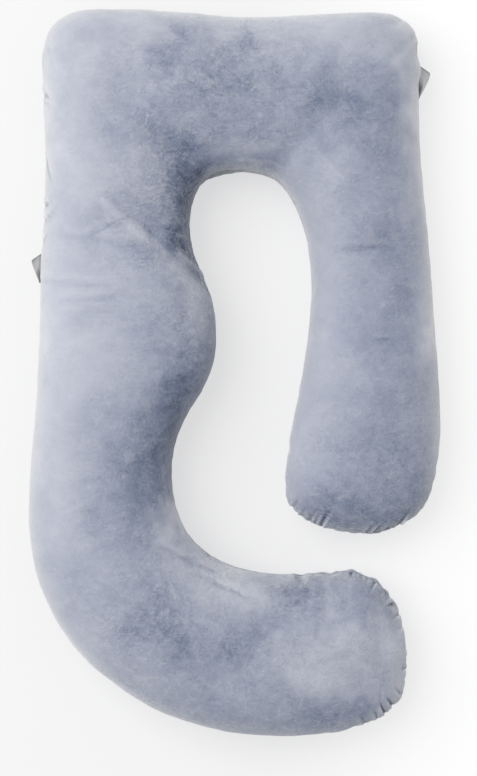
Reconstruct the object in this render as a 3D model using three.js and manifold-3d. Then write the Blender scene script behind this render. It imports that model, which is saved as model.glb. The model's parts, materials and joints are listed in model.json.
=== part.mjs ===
// Pregnancy pillow: one long stuffed cushion in a plush cover, lying flat on its back.
// It runs up a short arm, across a straight head bar and down a long arm with a belly bump,
// and ends in a hook. Two faces of cloth meet in one seam all the way round the sides, and the
// cloth is gathered on that seam at both ends. Two small folded tabs are caught in the seam.
// Units are millimetres, +Z is up, the head bar lies towards +Y and the floor is at Z = 0.

import * as THREE from 'three';
import Module from 'manifold-3d';
import { LoftGeometry } from 'three/addons/geometries/LoftGeometry.js';
import { mergeVertices } from 'three/addons/utils/BufferGeometryUtils.js';

const wasm = await Module();
wasm.setup();

// The stuffed body
const SEAM_SHARE = 0.43; // height of the seam, as a share of the height of the crown
const CROWN_POWER = 2.25; // 2 is an ellipse, more is a fuller cushion
const SIDE_POWER = 2.3; // the same for the sides below the seam
const FLAT_SHARE = 0.5; // share of the half width that lies flat on the floor
const END_CROWN_LENGTH = 125; // from the tip of an arm to its full height
const END_FLAT_LENGTH = 80; // from the tip of an arm to where it touches the floor
const SEAM_DEPTH = 4; // how far the stitches pull the seam in
const SEAM_FADE = 12; // length at a tip over which that pull starts
const LUMP_HEIGHT = 1.6; // unevenness of the filling
const LUMP_LENGTH = { wideX: 47, wideY: 61, fineX: 23, fineY: 31 };

// The mesh: sections lie closer together in the end zones, where the cloth is gathered
const SECTION_STEP = 31;
const END_STEP = 7.5;
const END_ZONE = 165; // length of seam, from a tip, that is gathered
const END_BLEND = 1.6; // the sections reach their full step this many end zones from the tip
const EDGE_SAMPLES = 6000; // for measuring along the two edges
const TIP_REACH = 3; // the first section is this far from the tip
const TOP_ANGLES = [0, 2.4, 7, 14, 23, 34, 46, 60, 75, 90]; // degrees, from the seam to the crown
const SIDE_ANGLES = [0, 2.8, 9, 20, 35, 53, 71, 90]; // degrees, from the seam to the floor

// Gathers: every third section of an end zone is nipped at the seam
const GATHER_EVERY = 3;
const GATHER_DEPTH = 5;
const GATHER_FADE = 30; // length at a tip over which the gathers start
const GATHER_HEIGHT = 38; // how far a gather fades out above and below the seam

// Where the two edges of the pillow lie, and how high it is between them. The inner edge faces
// the body space, the outer edge faces away from it.
const STATIONS = [
  { at: 'tip of the short arm', inner: [253, -321], outer: [253, -321], crown: 168 },
  { at: 'end, first quarter', inner: [205, -315], outer: [301, -319], crown: 168 },
  { at: 'end, half round', inner: [160, -303], outer: [337, -303], crown: 168 },
  { at: 'end, corners', inner: [125, -283], outer: [367, -277], crown: 169 },
  { at: 'end, sides', inner: [103, -257], outer: [389, -245], crown: 170 },
  { at: 'short arm, widest', inner: [96, -213], outer: [403, -201], crown: 173 },
  { at: 'short arm, lower', inner: [108, -130], outer: [411, -118], crown: 178 },
  { at: 'short arm, middle', inner: [132, -10], outer: [407, 0], crown: 178 },
  { at: 'short arm, narrowing', inner: [147, 100], outer: [397, 115], crown: 174 },
  { at: 'short arm, narrowest', inner: [152, 180], outer: [391, 211], crown: 172 },
  { at: 'short arm, root', inner: [142, 270], outer: [381, 320], crown: 178 },
  { at: 'right of the arch', inner: [118, 336], outer: [370, 450], crown: 186 },
  { at: 'arch, turning', inner: [99, 366], outer: [366, 563], crown: 190 },
  { at: 'right side of the bar', inner: [88, 379], outer: [366, 642], crown: 190 },
  { at: 'right corner', inner: [79, 386], outer: [357, 688], crown: 188 },
  { at: 'right corner, top', inner: [67, 392], outer: [317, 717], crown: 188 },
  { at: 'bar, right', inner: [50, 397], outer: [238, 720], crown: 190 },
  { at: 'bar, right of middle', inner: [28, 401], outer: [125, 714], crown: 190 },
  { at: 'bar, middle', inner: [1, 402], outer: [5, 711], crown: 190 },
  { at: 'bar, left of middle', inner: [-25, 399], outer: [-115, 720], crown: 191 },
  { at: 'bar, left', inner: [-45, 393], outer: [-235, 727], crown: 192 },
  { at: 'left corner, top', inner: [-59, 385], outer: [-318, 724], crown: 190 },
  { at: 'left corner', inner: [-68, 375], outer: [-367, 697], crown: 188 },
  { at: 'left side of the bar', inner: [-76, 362], outer: [-387, 645], crown: 190 },
  { at: 'long arm, root', inner: [-84, 340], outer: [-384, 550], crown: 192 },
  { at: 'long arm, neck', inner: [-90, 302], outer: [-380, 440], crown: 188 },
  { at: 'above the bump', inner: [-86, 253], outer: [-383, 330], crown: 188 },
  { at: 'rise of the bump', inner: [-65, 197], outer: [-389, 230], crown: 194 },
  { at: 'belly bump, upper', inner: [-44, 146], outer: [-390, 150], crown: 200 },
  { at: 'belly bump, widest', inner: [-36, 86], outer: [-392, 78], crown: 202 },
  { at: 'belly bump, lower', inner: [-41, 24], outer: [-395, 8], crown: 200 },
  { at: 'fall of the bump', inner: [-63, -33], outer: [-399, -64], crown: 196 },
  { at: 'below the bump', inner: [-97, -86], outer: [-406, -145], crown: 192 },
  { at: 'long arm, lower', inner: [-121, -145], outer: [-412, -240], crown: 190 },
  { at: 'bend, start', inner: [-127, -207], outer: [-411, -320], crown: 190 },
  { at: 'bend, left', inner: [-118, -268], outer: [-394, -410], crown: 192 },
  { at: 'bend, middle', inner: [-95, -320], outer: [-350, -508], crown: 194 },
  { at: 'bend, lower', inner: [-51, -363], outer: [-275, -594], crown: 195 },
  { at: 'bend, end', inner: [4, -389], outer: [-175, -666], crown: 194 },
  { at: 'hook, root', inner: [62, -401], outer: [-70, -706], crown: 190 },
  { at: 'hook, middle', inner: [120, -404], outer: [35, -722], crown: 186 },
  { at: 'hook, widening', inner: [175, -399], outer: [120, -725], crown: 182 },
  { at: 'hook, full', inner: [216, -393], outer: [185, -721], crown: 178 },
  { at: 'hook end, sides', inner: [248, -394], outer: [240, -710], crown: 175 },
  { at: 'hook end, corners', inner: [278, -413], outer: [283, -693], crown: 172 },
  { at: 'hook end, round', inner: [305, -440], outer: [311, -671], crown: 170 },
  { at: 'hook end, half round', inner: [325, -475], outer: [329, -648], crown: 168 },
  { at: 'hook end, first quarter', inner: [335, -518], outer: [337, -617], crown: 168 },
  { at: 'tip of the hook', inner: [343, -575], outer: [343, -575], crown: 168 },
];

// Soft creases in the upper face: middle point, heading in degrees from +X, and sizes.
const CREASES = [
  { at: 'neck, from the arch', x: -150, y: 268, heading: -42, length: 150, width: 20, depth: 5 },
  { at: 'neck, above', x: -235, y: 290, heading: 12, length: 190, width: 22, depth: 3.5 },
  { at: 'neck, below', x: -275, y: 205, heading: 10, length: 180, width: 20, depth: 3 },
  { at: 'under the bump', x: -140, y: -70, heading: 35, length: 130, width: 22, depth: 4 },
  { at: 'short arm, root', x: 290, y: 252, heading: 2, length: 130, width: 20, depth: 3.5 },
  { at: 'hook, from inside', x: 130, y: -430, heading: -48, length: 90, width: 20, depth: 6 },
  { at: 'bar, from the top', x: 20, y: 672, heading: 84, length: 90, width: 22, depth: 4 },
];

// The two folded tabs. Each is caught in the seam from its first end to its last one, and is
// given by those two points of the outer edge, with the crown there. Its fold starts lower
// than its root by the skew.
const TAB_PLY = 1.2; // thickness of the tape
const TAB_SLIT = 1.2; // gap between its two layers
const TAB_ROOT = 9; // how far the layers run in from the edge
const TAB_NOSE = 1.8; // length of the rounded fold
const TAB_STEPS = 22;
const TAB_GAP = 0.4; // clearance to the cover
const TABS = [
  { name: 'tab_right', from: [367, 615, 190], to: [366, 547, 190], reach: 23, skew: 14, droop: 78 },
  { name: 'tab_left', from: [-388, 237, 194], to: [-390, 179, 198], reach: 18, skew: 13, droop: 76 },
];
const TAB_LIFT = 6; // degrees that the first end stands up
const TAB_CURL = 0.75; // below 1, a tab droops sooner along its length

const VELVET = { color: 0x9ba4b8, roughness: 0.85, metalness: 0 };
const TAPE = { color: 0xa7abb3, roughness: 0.6, metalness: 0 };

const edgeCurve = (side) =>
  new THREE.CatmullRomCurve3(
    STATIONS.map((station) => new THREE.Vector3(...station[side], station.crown)),
    false,
    'centripetal',
  );
const innerEdge = edgeCurve('inner');
const outerEdge = edgeCurve('outer');

// Quarter of a superellipse: 0 at the rim, 1 from the full length inwards.
const roundedRise = (distance, length, power) => {
  const left = 1 - Math.min(distance / length, 1);
  return Math.pow(1 - Math.pow(left, power), 1 / power);
};

// A point of a quarter superellipse at an angle: [across, up], both from 0 to 1.
const quarterPoint = (degrees, power) => {
  const angle = THREE.MathUtils.degToRad(degrees);
  return [Math.pow(Math.max(Math.cos(angle), 0), 2 / power), Math.pow(Math.sin(angle), 2 / power)];
};

// Parameters of the sections along the two edges, closer together in the end zones.
function sectionParameters() {
  const inner = innerEdge.getPoints(EDGE_SAMPLES);
  const outer = outerEdge.getPoints(EDGE_SAMPLES);
  const travelled = [0];
  for (let i = 1; i <= EDGE_SAMPLES; i++) {
    const moves = [inner, outer].map((edge) => edge[i].distanceTo(edge[i - 1]));
    travelled.push(travelled[i - 1] + Math.max(...moves));
  }
  const total = travelled[EDGE_SAMPLES];
  const fromTip = travelled.map((length) => Math.min(length, total - length));
  const steps = [0];
  for (let i = 1; i <= EDGE_SAMPLES; i++) {
    const blend = THREE.MathUtils.smoothstep(fromTip[i], END_ZONE, END_ZONE * END_BLEND);
    const wanted = THREE.MathUtils.lerp(END_STEP, SECTION_STEP, blend);
    steps.push(steps[i - 1] + (travelled[i] - travelled[i - 1]) / wanted);
  }
  const first = fromTip.findIndex((length) => length > TIP_REACH);
  const fromEnd = [...fromTip].reverse();
  const last = EDGE_SAMPLES - fromEnd.findIndex((length) => length > TIP_REACH);
  const count = Math.round(steps[last] - steps[first]);
  const parameters = [];
  for (let k = 0, i = first; k <= count; k++) {
    const wanted = THREE.MathUtils.lerp(steps[first], steps[last], k / count);
    while (i < last && steps[i] < wanted) i++;
    parameters.push({ t: i / EDGE_SAMPLES, fromTip: fromTip[i] });
  }
  return parameters;
}

// Outward direction of an edge, in the plane of the floor.
function outward(curve, t, fromOther) {
  const tangent = curve.getTangent(t).setZ(0).normalize();
  const normal = new THREE.Vector3(tangent.y, -tangent.x, 0);
  return normal.dot(fromOther) < 0 ? normal.negate() : normal;
}

// Unevenness of the filling: wide lumps with fainter fine ones between them.
function lump(x, y) {
  const wide = Math.sin(x / LUMP_LENGTH.wideX + 1.3) * Math.cos(y / LUMP_LENGTH.wideY);
  const fine = Math.sin(x / LUMP_LENGTH.fineX) * Math.cos(y / LUMP_LENGTH.fineY + 0.7);
  return LUMP_HEIGHT * (wide + 0.6 * fine);
}

// How deep the creases are at a point of the upper face.
function creaseDepth(x, y) {
  let depth = 0;
  for (const crease of CREASES) {
    const heading = THREE.MathUtils.degToRad(crease.heading);
    const along = (x - crease.x) * Math.cos(heading) + (y - crease.y) * Math.sin(heading);
    const across = (y - crease.y) * Math.cos(heading) - (x - crease.x) * Math.sin(heading);
    const fade = Math.max(1 - Math.pow((2 * along) / crease.length, 2), 0);
    depth += crease.depth * fade * Math.exp(-Math.pow(across / crease.width, 2));
  }
  return depth;
}

// One closed ring around the pillow at a section, grown outwards by a margin.
function section({ t, fromTip }, index, margin) {
  const inner = innerEdge.getPoint(t);
  const outer = outerEdge.getPoint(t);
  const crown = (inner.z + outer.z) / 2;
  inner.z = 0;
  outer.z = 0;
  const middle = inner.clone().add(outer).multiplyScalar(0.5);
  const across = outer.clone().sub(inner);
  const half = across.length() / 2;
  across.normalize();

  const tip = t < 0.5 ? STATIONS[0].inner : STATIONS[STATIONS.length - 1].inner;
  const depthIn = Math.hypot(middle.x - tip[0], middle.y - tip[1]);
  const crownRise = roundedRise(depthIn, END_CROWN_LENGTH, CROWN_POWER);
  const floorFall = roundedRise(depthIn, END_FLAT_LENGTH, SIDE_POWER);
  const seamZ = crown * SEAM_SHARE;
  const rise = (crown - seamZ) * crownRise;
  const fall = seamZ * floorFall;

  const outOf = {
    inner: outward(innerEdge, t, across.clone().negate()),
    outer: outward(outerEdge, t, across),
  };
  const gathered = fromTip < END_ZONE && index % GATHER_EVERY === 0;
  const uneven = 0.65 + 0.35 * Math.sin(index * 2.4);
  const nip = gathered ? GATHER_DEPTH * uneven * Math.min(1, fromTip / GATHER_FADE) : 0;
  const seamPull = SEAM_DEPTH * Math.min(1, fromTip / SEAM_FADE);

  // side is +1 for the outer edge and -1 for the inner one, share is 1 at the seam
  const place = (side, share, height, atSeam) => {
    const point = middle.clone().addScaledVector(across, side * half * share);
    point.z = height;
    const fromSeam = Math.abs(height - seamZ);
    const pull = nip * Math.exp(-Math.pow(fromSeam / GATHER_HEIGHT, 2)) * share;
    const out = side > 0 ? outOf.outer : outOf.inner;
    point.addScaledVector(out, margin * share - pull - (atSeam ? seamPull : 0));
    if (height > seamZ) {
      const onTop = (height - seamZ) / (crown - seamZ);
      point.z += onTop * (lump(point.x, point.y) - creaseDepth(point.x, point.y)) + margin * onTop;
    }
    return point;
  };

  const ring = [];
  const overTop = (side, degrees) => {
    const [share, up] = quarterPoint(degrees, CROWN_POWER);
    ring.push(place(side, share, seamZ + rise * up, degrees === 0));
  };
  const underSide = (side, degrees) => {
    const [share, down] = quarterPoint(degrees, SIDE_POWER);
    const wide = FLAT_SHARE + (1 - FLAT_SHARE) * share;
    ring.push(place(side, wide, Math.max(seamZ - fall * down, 0), false));
  };
  for (const degrees of TOP_ANGLES) overTop(1, degrees);
  for (const degrees of TOP_ANGLES.slice(0, -1).reverse()) overTop(-1, degrees);
  for (const degrees of SIDE_ANGLES.slice(1)) underSide(-1, degrees);
  ring.push(place(1, 0, seamZ - fall, false));
  for (const degrees of SIDE_ANGLES.slice(1).reverse()) underSide(1, degrees);
  return ring.reverse();
}

function pillowGeometry(margin = 0) {
  const rings = sectionParameters().map((parameter, index) => section(parameter, index, margin));
  return new LoftGeometry(rings, { capStart: true, capEnd: true });
}

// A folded tape, caught in the seam along one side. It stands out at its first end and droops
// against the pillow at its last end, so that from above it looks like a wedge.
function tapeGeometry({ from, to, reach, skew, droop }) {
  const first = new THREE.Vector3(...from);
  const last = new THREE.Vector3(...to);
  const side = Math.sign(first.x);
  const skin = TAB_PLY + TAB_SLIT / 2;
  const slit = TAB_SLIT / 2;
  const straight = reach - TAB_NOSE;
  const layer = (up) => [
    [-TAB_ROOT, up],
    [0, up],
    [straight, up],
  ];
  const profile = [
    ...layer(-skin),
    [reach - TAB_NOSE * 0.3, -skin * 0.7],
    [reach, 0],
    [reach - TAB_NOSE * 0.3, skin * 0.7],
    ...layer(skin).reverse(),
    ...layer(slit),
    ...layer(-slit).reverse(),
  ];
  const rings = [];
  for (let i = 0; i <= TAB_STEPS; i++) {
    const share = i / TAB_STEPS;
    const root = first.clone().lerp(last, share);
    const curl = Math.pow(share, TAB_CURL);
    const bend = THREE.MathUtils.degToRad(THREE.MathUtils.lerp(TAB_LIFT, -droop, curl));
    rings.push(
      profile.map(([along, up]) => {
        const turned = along > 0 ? bend : 0;
        const facing = along === 0 ? bend / 2 : turned;
        const out = along * Math.cos(turned) - up * Math.sin(facing);
        const raised = along * Math.sin(turned) + up * Math.cos(facing);
        const lower = skew * (1 - share) * Math.max(along / reach, 0);
        const height = root.z * SEAM_SHARE + raised;
        return new THREE.Vector3(root.x + side * out, root.y - lower, height);
      }),
    );
  }
  if (side < 0) rings.forEach((ring) => ring.reverse());
  return new LoftGeometry(rings, { capStart: true, capEnd: true });
}

// A closed three.js geometry as a solid, and back again.
function solidOf(geometry) {
  const bare = new THREE.BufferGeometry();
  bare.setAttribute('position', geometry.getAttribute('position'));
  bare.setIndex(geometry.getIndex());
  const merged = mergeVertices(bare, 1e-3);
  return new wasm.Manifold(
    new wasm.Mesh({
      numProp: 3,
      vertProperties: merged.getAttribute('position').array,
      triVerts: new Uint32Array(merged.getIndex().array),
    }),
  );
}

function geometryOf(solid) {
  const { vertProperties, triVerts } = solid.getMesh();
  const geometry = new THREE.BufferGeometry();
  geometry.setAttribute('position', new THREE.BufferAttribute(vertProperties, 3));
  geometry.setIndex(new THREE.BufferAttribute(triVerts, 1));
  geometry.computeVertexNormals();
  return geometry;
}

const part = new THREE.Group();
const addMesh = (name, geometry, finish) => {
  const mesh = new THREE.Mesh(geometry, new THREE.MeshStandardMaterial(finish));
  mesh.name = name;
  part.add(mesh);
};

addMesh('pillow', pillowGeometry(), VELVET);
const clearance = solidOf(pillowGeometry(TAB_GAP));
for (const tab of TABS) {
  addMesh(tab.name, geometryOf(solidOf(tapeGeometry(tab)).subtract(clearance)), TAPE);
}

// The middle of the whole part lies at X = Y = 0.
const middle = new THREE.Box3().setFromObject(part).getCenter(new THREE.Vector3());
part.position.set(-middle.x, -middle.y, 0);

export default part;
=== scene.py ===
# %% [markdown]
# # A pregnancy pillow in crushed velvet
#
# This lesson dresses a J-shaped body pillow that lies flat on its back. The frame holds its
# true size as a plain solid. Here it gets its soft cover: one seam round the sides that draws
# the cloth into puckers, gathers at both ends, and a short pile that shines where it is
# brushed. Everything is in metres, with +Z up and the head bar towards +Y.

# %% Load the frame
import json
import math

import bmesh
import bpy
import numpy as np
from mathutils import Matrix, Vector, kdtree, noise

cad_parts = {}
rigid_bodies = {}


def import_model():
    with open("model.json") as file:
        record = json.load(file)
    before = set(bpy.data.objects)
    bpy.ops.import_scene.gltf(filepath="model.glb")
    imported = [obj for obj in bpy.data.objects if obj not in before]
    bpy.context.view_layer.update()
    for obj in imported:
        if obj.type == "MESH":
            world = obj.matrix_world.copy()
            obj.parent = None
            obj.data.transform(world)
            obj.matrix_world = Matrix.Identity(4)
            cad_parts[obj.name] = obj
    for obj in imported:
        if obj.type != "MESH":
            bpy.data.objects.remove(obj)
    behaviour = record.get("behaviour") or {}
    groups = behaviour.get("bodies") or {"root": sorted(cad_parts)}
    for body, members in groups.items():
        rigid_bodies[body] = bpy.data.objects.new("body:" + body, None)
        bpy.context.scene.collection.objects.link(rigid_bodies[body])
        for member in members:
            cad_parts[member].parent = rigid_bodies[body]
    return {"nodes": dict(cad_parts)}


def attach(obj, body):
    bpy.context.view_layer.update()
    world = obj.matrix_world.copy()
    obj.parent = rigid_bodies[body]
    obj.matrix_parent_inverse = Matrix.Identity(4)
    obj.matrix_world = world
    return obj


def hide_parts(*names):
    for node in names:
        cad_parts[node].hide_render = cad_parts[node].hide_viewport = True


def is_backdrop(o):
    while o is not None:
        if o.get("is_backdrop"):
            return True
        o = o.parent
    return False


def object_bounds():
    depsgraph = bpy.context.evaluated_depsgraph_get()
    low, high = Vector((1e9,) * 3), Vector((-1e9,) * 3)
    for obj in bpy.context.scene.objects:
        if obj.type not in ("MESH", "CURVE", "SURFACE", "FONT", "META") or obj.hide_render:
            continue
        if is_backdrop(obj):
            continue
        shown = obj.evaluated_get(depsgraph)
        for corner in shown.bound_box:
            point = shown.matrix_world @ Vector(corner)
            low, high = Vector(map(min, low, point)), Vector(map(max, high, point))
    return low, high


for left_over in list(bpy.data.objects):
    bpy.data.objects.remove(left_over)
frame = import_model()
cad_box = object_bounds()
print("nodes:", sorted(frame["nodes"]))

# %% [markdown]
# ## Camera
#
# The photograph is taken from straight above with a long lens. A long lens keeps the sides of
# the pillow from leaning outwards, so the camera hangs high over it. Its height follows from
# the size of one pixel at the height of the seam.

# %% Camera
PIXEL = 0.002  # metres that one pixel covers at the seam
FRAME_HEIGHT = 776  # pixels
LENS = 85.0  # millimetres
SENSOR = 36.0  # millimetres, along the frame's height
SEAM_HEIGHT = 0.083
CAMERA_X = 0.007
CAMERA_Y = -0.0315

camera_distance = FRAME_HEIGHT * PIXEL * LENS / SENSOR
bpy.ops.object.select_all(action="DESELECT")
bpy.ops.object.camera_add(
    location=(CAMERA_X, CAMERA_Y, SEAM_HEIGHT + camera_distance),
    rotation=(0.0, 0.0, 0.0),
)
camera = bpy.context.object
camera.data.lens = LENS
camera.data.sensor_width = SENSOR
bpy.context.scene.camera = camera
print(f"camera {camera_distance:.2f} m above the seam")

# %% [markdown]
# ## Helpers
#
# The cover is shaped in three ways: by modifiers, by a cloth simulation, and by moving its
# points along their normals. These helpers read and write all points of a mesh at once, which
# is much quicker than a loop over them.

# %% Helpers for points
TINY = 1e-9  # keeps a share from being divided by nothing


def soft_step(share):
    """Ease a share that runs from 0 to 1, so that it starts and ends softly."""
    return share * share * (3 - 2 * share)


def select_only(obj):
    """Make one object the only selected and active one."""
    bpy.ops.object.select_all(action="DESELECT")
    obj.select_set(True)
    bpy.context.view_layer.objects.active = obj


def vectors_of(mesh, what):
    """The points' places or normals of a mesh as an array of three columns."""
    flat = np.empty(len(mesh.vertices) * 3)
    mesh.vertices.foreach_get(what, flat)
    return flat.reshape(-1, 3)


def set_points(obj, points):
    """Move all points of a mesh."""
    obj.data.vertices.foreach_set("co", np.ascontiguousarray(points, dtype=np.float32).ravel())
    obj.data.update()


def edge_ends(mesh):
    """The numbers of both points of every edge, as an array of two columns."""
    flat = np.empty(len(mesh.edges) * 2, dtype=np.int64)
    mesh.edges.foreach_get("vertices", flat)
    return flat.reshape(-1, 2)


# %% Helpers for modifiers
def add_subdivision(obj, levels):
    """A subdivision surface with the same levels in the view and in the render."""
    modifier = obj.modifiers.new("Subdivision", "SUBSURF")
    modifier.levels = levels
    modifier.render_levels = levels
    return modifier


def subdivide_smoothly(obj, levels):
    """Apply a subdivision surface."""
    modifier = add_subdivision(obj, levels)
    select_only(obj)
    bpy.ops.object.modifier_apply(modifier=modifier.name)


def fit_cage(obj, levels, rounds=3):
    """Widen a mesh so that its subdivision surface passes through its present points."""
    target = vectors_of(obj.data, "co")
    cage = target.copy()
    for _ in range(rounds):
        modifier = add_subdivision(obj, levels)
        smooth = obj.evaluated_get(bpy.context.evaluated_depsgraph_get())
        misses = target - vectors_of(smooth.data, "co")[: len(target)]
        obj.modifiers.remove(modifier)
        cage += misses
        set_points(obj, cage)
    return np.linalg.norm(misses, axis=1)


def spread_evenly(obj, values, rounds):
    """Average vectors over neighbouring points, again and again."""
    first, last = edge_ends(obj.data).T
    ends = np.concatenate([first, last])
    others = np.concatenate([last, first])
    count = len(values)
    links = np.bincount(ends, minlength=count)
    for _ in range(rounds):
        sums = [
            np.bincount(ends, weights=values[others, axis], minlength=count)
            for axis in range(3)
        ]
        values = (values + np.stack(sums, axis=1) / links[:, None]) / 2
    return values


# %% [markdown]
# ## The cover's starting shape
#
# The solid from the frame is the stuffed body in plain faces. A copy of it is the start of the
# cover, and the solid itself is left alone. The copy's triangles are merged back to quads,
# because a subdivision surface runs smoothly only over quads.

# %% Copy the solid
MERGE_WITHIN = 0.00002


def copy_of_node(node, name):
    """A merged copy of a frame node, in quads where it can be."""
    copy = bpy.data.objects.new(name, frame["nodes"][node].data.copy())
    bpy.context.scene.collection.objects.link(copy)
    copy.data.materials.clear()
    select_only(copy)
    bpy.ops.object.mode_set(mode="EDIT")
    bpy.ops.mesh.select_all(action="SELECT")
    bpy.ops.mesh.remove_doubles(threshold=MERGE_WITHIN)
    bpy.ops.mesh.customdata_custom_splitnormals_clear()
    bpy.ops.mesh.tris_convert_to_quads(
        face_threshold=math.radians(60),
        shape_threshold=math.radians(180),
    )
    bpy.ops.object.mode_set(mode="OBJECT")
    return copy


cover = copy_of_node("pillow", "velvet_cover")
print("cover:", len(cover.data.vertices), "points,", len(cover.data.polygons), "faces")

# %% [markdown]
# ## Where the seam runs
#
# The two faces of the cover meet in one seam at mid height. In the solid it is a narrow
# groove, so its edges are the concave ones that run level. They form two long chains, one
# along the inner side of the J and one along its outer side. Everything that the seam does to
# the cloth is worked out from them.

# %% Find the seam
GROOVE_ANGLE = math.radians(38)
LEVEL_SLOPE = 0.45  # rise per length that still counts as level
SEAM_LOWEST = 0.05
SEAM_HIGHEST = 0.11
SEAM_CREASE = 0.6
SHORT_ARM_TIP = Vector((0.254, -0.321, 0.072))
HOOK_TIP = Vector((0.343, -0.576, 0.072))


def runs_along_seam(edge):
    """Whether an edge is concave, level and at the height of the seam."""
    if len(edge.link_faces) != 2 or edge.calc_face_angle_signed() > -GROOVE_ANGLE:
        return False
    first, last = (vert.co.z for vert in edge.verts)
    is_level = abs(first - last) < LEVEL_SLOPE * edge.calc_length()
    return is_level and SEAM_LOWEST < (first + last) / 2 < SEAM_HIGHEST


def links_of(pairs):
    """For each point number, the numbers that edges link it to."""
    links = {}
    for first, last in pairs:
        links.setdefault(first, []).append(last)
        links.setdefault(last, []).append(first)
    return links


def linked_chains(edges):
    """Sets of point numbers that edges link, the longest first."""
    links = links_of([vert.index for vert in edge.verts] for edge in edges)
    chains = []
    left = set(links)
    while left:
        stack = [left.pop()]
        chain = set(stack)
        while stack:
            for number in links[stack.pop()]:
                if number in left:
                    left.discard(number)
                    chain.add(number)
                    stack.append(number)
        chains.append(chain)
    return sorted(chains, key=len, reverse=True)


def tip_distance(place):
    """Distance from a place to the nearer tip of the pillow."""
    return min((place - SHORT_ARM_TIP).length, (place - HOOK_TIP).length)


# %% Mark the seam and the hold of the filling
GATHER_REACH = 0.17  # from a tip, where the seam is fully gathered
GATHER_FADE = 0.1
PLAIN_SHRINK = 0.3  # share of the gathers' shrink on the plain stretches
FLOOR_BAND = 0.002
HOLD_SIDES = 0.35
HOLD_ENDS = 0.22


def mark_seam(obj):
    """Crease the seam, weigh the points for the simulation, and count the seam's points."""
    obj.vertex_groups.new(name="seam_shrink")
    obj.vertex_groups.new(name="filling_hold")
    mesh = bmesh.new()
    mesh.from_mesh(obj.data)
    crease = mesh.edges.layers.float.new("crease_edge")
    on_seam = mesh.verts.layers.float.new("on_seam")
    weights = mesh.verts.layers.deform.verify()
    mesh.verts.ensure_lookup_table()
    edges = [edge for edge in mesh.edges if runs_along_seam(edge)]
    inner, outer = linked_chains(edges)[:2]
    seam = inner | outer
    for edge in edges:
        if edge.verts[0].index in seam and edge.verts[1].index in seam:
            edge[crease] = SEAM_CREASE
    for number in seam:
        vert = mesh.verts[number]
        beyond = max(tip_distance(vert.co) - GATHER_REACH, 0) / GATHER_FADE
        vert[on_seam] = 1.0
        vert[weights][0] = max(1.0 - beyond, PLAIN_SHRINK)
    for vert in mesh.verts:
        near_tip = max(1.0 - tip_distance(vert.co) / (GATHER_REACH + GATHER_FADE), 0)
        hold = HOLD_SIDES + (HOLD_ENDS - HOLD_SIDES) * near_tip
        vert[weights][1] = 1.0 if vert.co.z < FLOOR_BAND else hold
    mesh.to_mesh(obj.data)
    mesh.free()
    return len(seam)


print("seam points:", mark_seam(cover))

# %% [markdown]
# ## Stuffing the cover
#
# A real cover is sewn flat and then stuffed until the cloth is tight. The simulation does the
# same: pressure pushes the cloth out, and the seam thread is shorter than the cloth, most of
# all at the two ends, so the cloth has to pucker beside it. The filling holds each point near
# its place, and the resting face stays where it lies. A short seam also pulls the whole pillow
# out of shape a little. That slow drift is taken out again, so only the puckers stay, in full
# at the two ends and weaker between them.

# %% Cloth simulation
CLOTH_FRAMES = 20
CLOTH_SETTINGS = {  # stiff, light cloth under pressure, with a short seam and a soft filling
    "quality": 5,
    "mass": 0.3,
    "tension_stiffness": 15,
    "compression_stiffness": 15,
    "shear_stiffness": 5,
    "bending_stiffness": 0.4,
    "use_pressure": True,
    "uniform_pressure_force": 6,
    "vertex_group_shrink": "seam_shrink",
    "shrink_min": 0.0,
    "shrink_max": 0.4,
    "vertex_group_mass": "filling_hold",
    "pin_stiffness": 1.0,
}
CLOTH_CAP = 0.014  # farthest that a point may move
DRIFT_ROUNDS = 120  # how widely the moves are averaged to find the drift
PLAIN_MOVES = 0.35  # share of the moves that is kept away from the two ends


def kept_moves(points):
    """How much of its move each point keeps: all of it at the two ends, less between them."""
    gaps = [np.linalg.norm(points - np.array(tip), axis=1) for tip in (SHORT_ARM_TIP, HOOK_TIP)]
    beyond = np.clip((np.minimum(*gaps) - GATHER_REACH) / GATHER_FADE, 0, 1)
    return 1 - (1 - PLAIN_MOVES) * beyond


def stuff_cover(obj):
    """Run the cloth simulation on the cover, and keep its shape within the cap."""
    start = vectors_of(obj.data, "co")
    cloth = obj.modifiers.new("Cloth", "CLOTH")
    for label, value in CLOTH_SETTINGS.items():
        setattr(cloth.settings, label, value)
    cloth.settings.effector_weights.gravity = 0
    cloth.collision_settings.use_collision = False
    for number in range(1, CLOTH_FRAMES + 1):
        bpy.context.scene.frame_set(number)
    stuffed = obj.evaluated_get(bpy.context.evaluated_depsgraph_get())
    moves = vectors_of(stuffed.data, "co") - start
    obj.modifiers.remove(cloth)
    moves -= spread_evenly(obj, moves, DRIFT_ROUNDS)
    moves *= kept_moves(start)[:, None]
    lengths = np.linalg.norm(moves, axis=1)
    shares = np.minimum(1, CLOTH_CAP / np.maximum(lengths, TINY))
    set_points(obj, start + moves * shares[:, None])
    bpy.context.scene.frame_set(1)
    return lengths


# %% Smooth and stuff the cover
missed = fit_cage(cover, levels=2)
print(f"cage: the smooth surface misses the solid by {missed.mean() * 1000:.2f} mm on average")
subdivide_smoothly(cover, 1)
moved = stuff_cover(cover)
print(f"stuffed: moved {moved.mean() * 1000:.1f} mm, at most {moved.max() * 1000:.1f} mm")
subdivide_smoothly(cover, 1)
print("cover:", len(cover.data.vertices), "points")

# %% [markdown]
# ## Distance from the seam
#
# Puckers start at the seam and fade into the face. To place them, each point of the cover
# needs two numbers: how far along the seam it lies, and how far away from it.

# %% Put the seam in order
ON_SEAM_FROM = 0.97  # of the value on_seam, which the subdivisions have blurred


def follow_chain(links, start):
    """The numbers of linked points, from one end of a chain to the other."""
    chain = [start]
    while True:
        onward = [number for number in links[chain[-1]] if number not in chain[-3:]]
        if not onward:
            return chain
        chain.append(onward[0])


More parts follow.
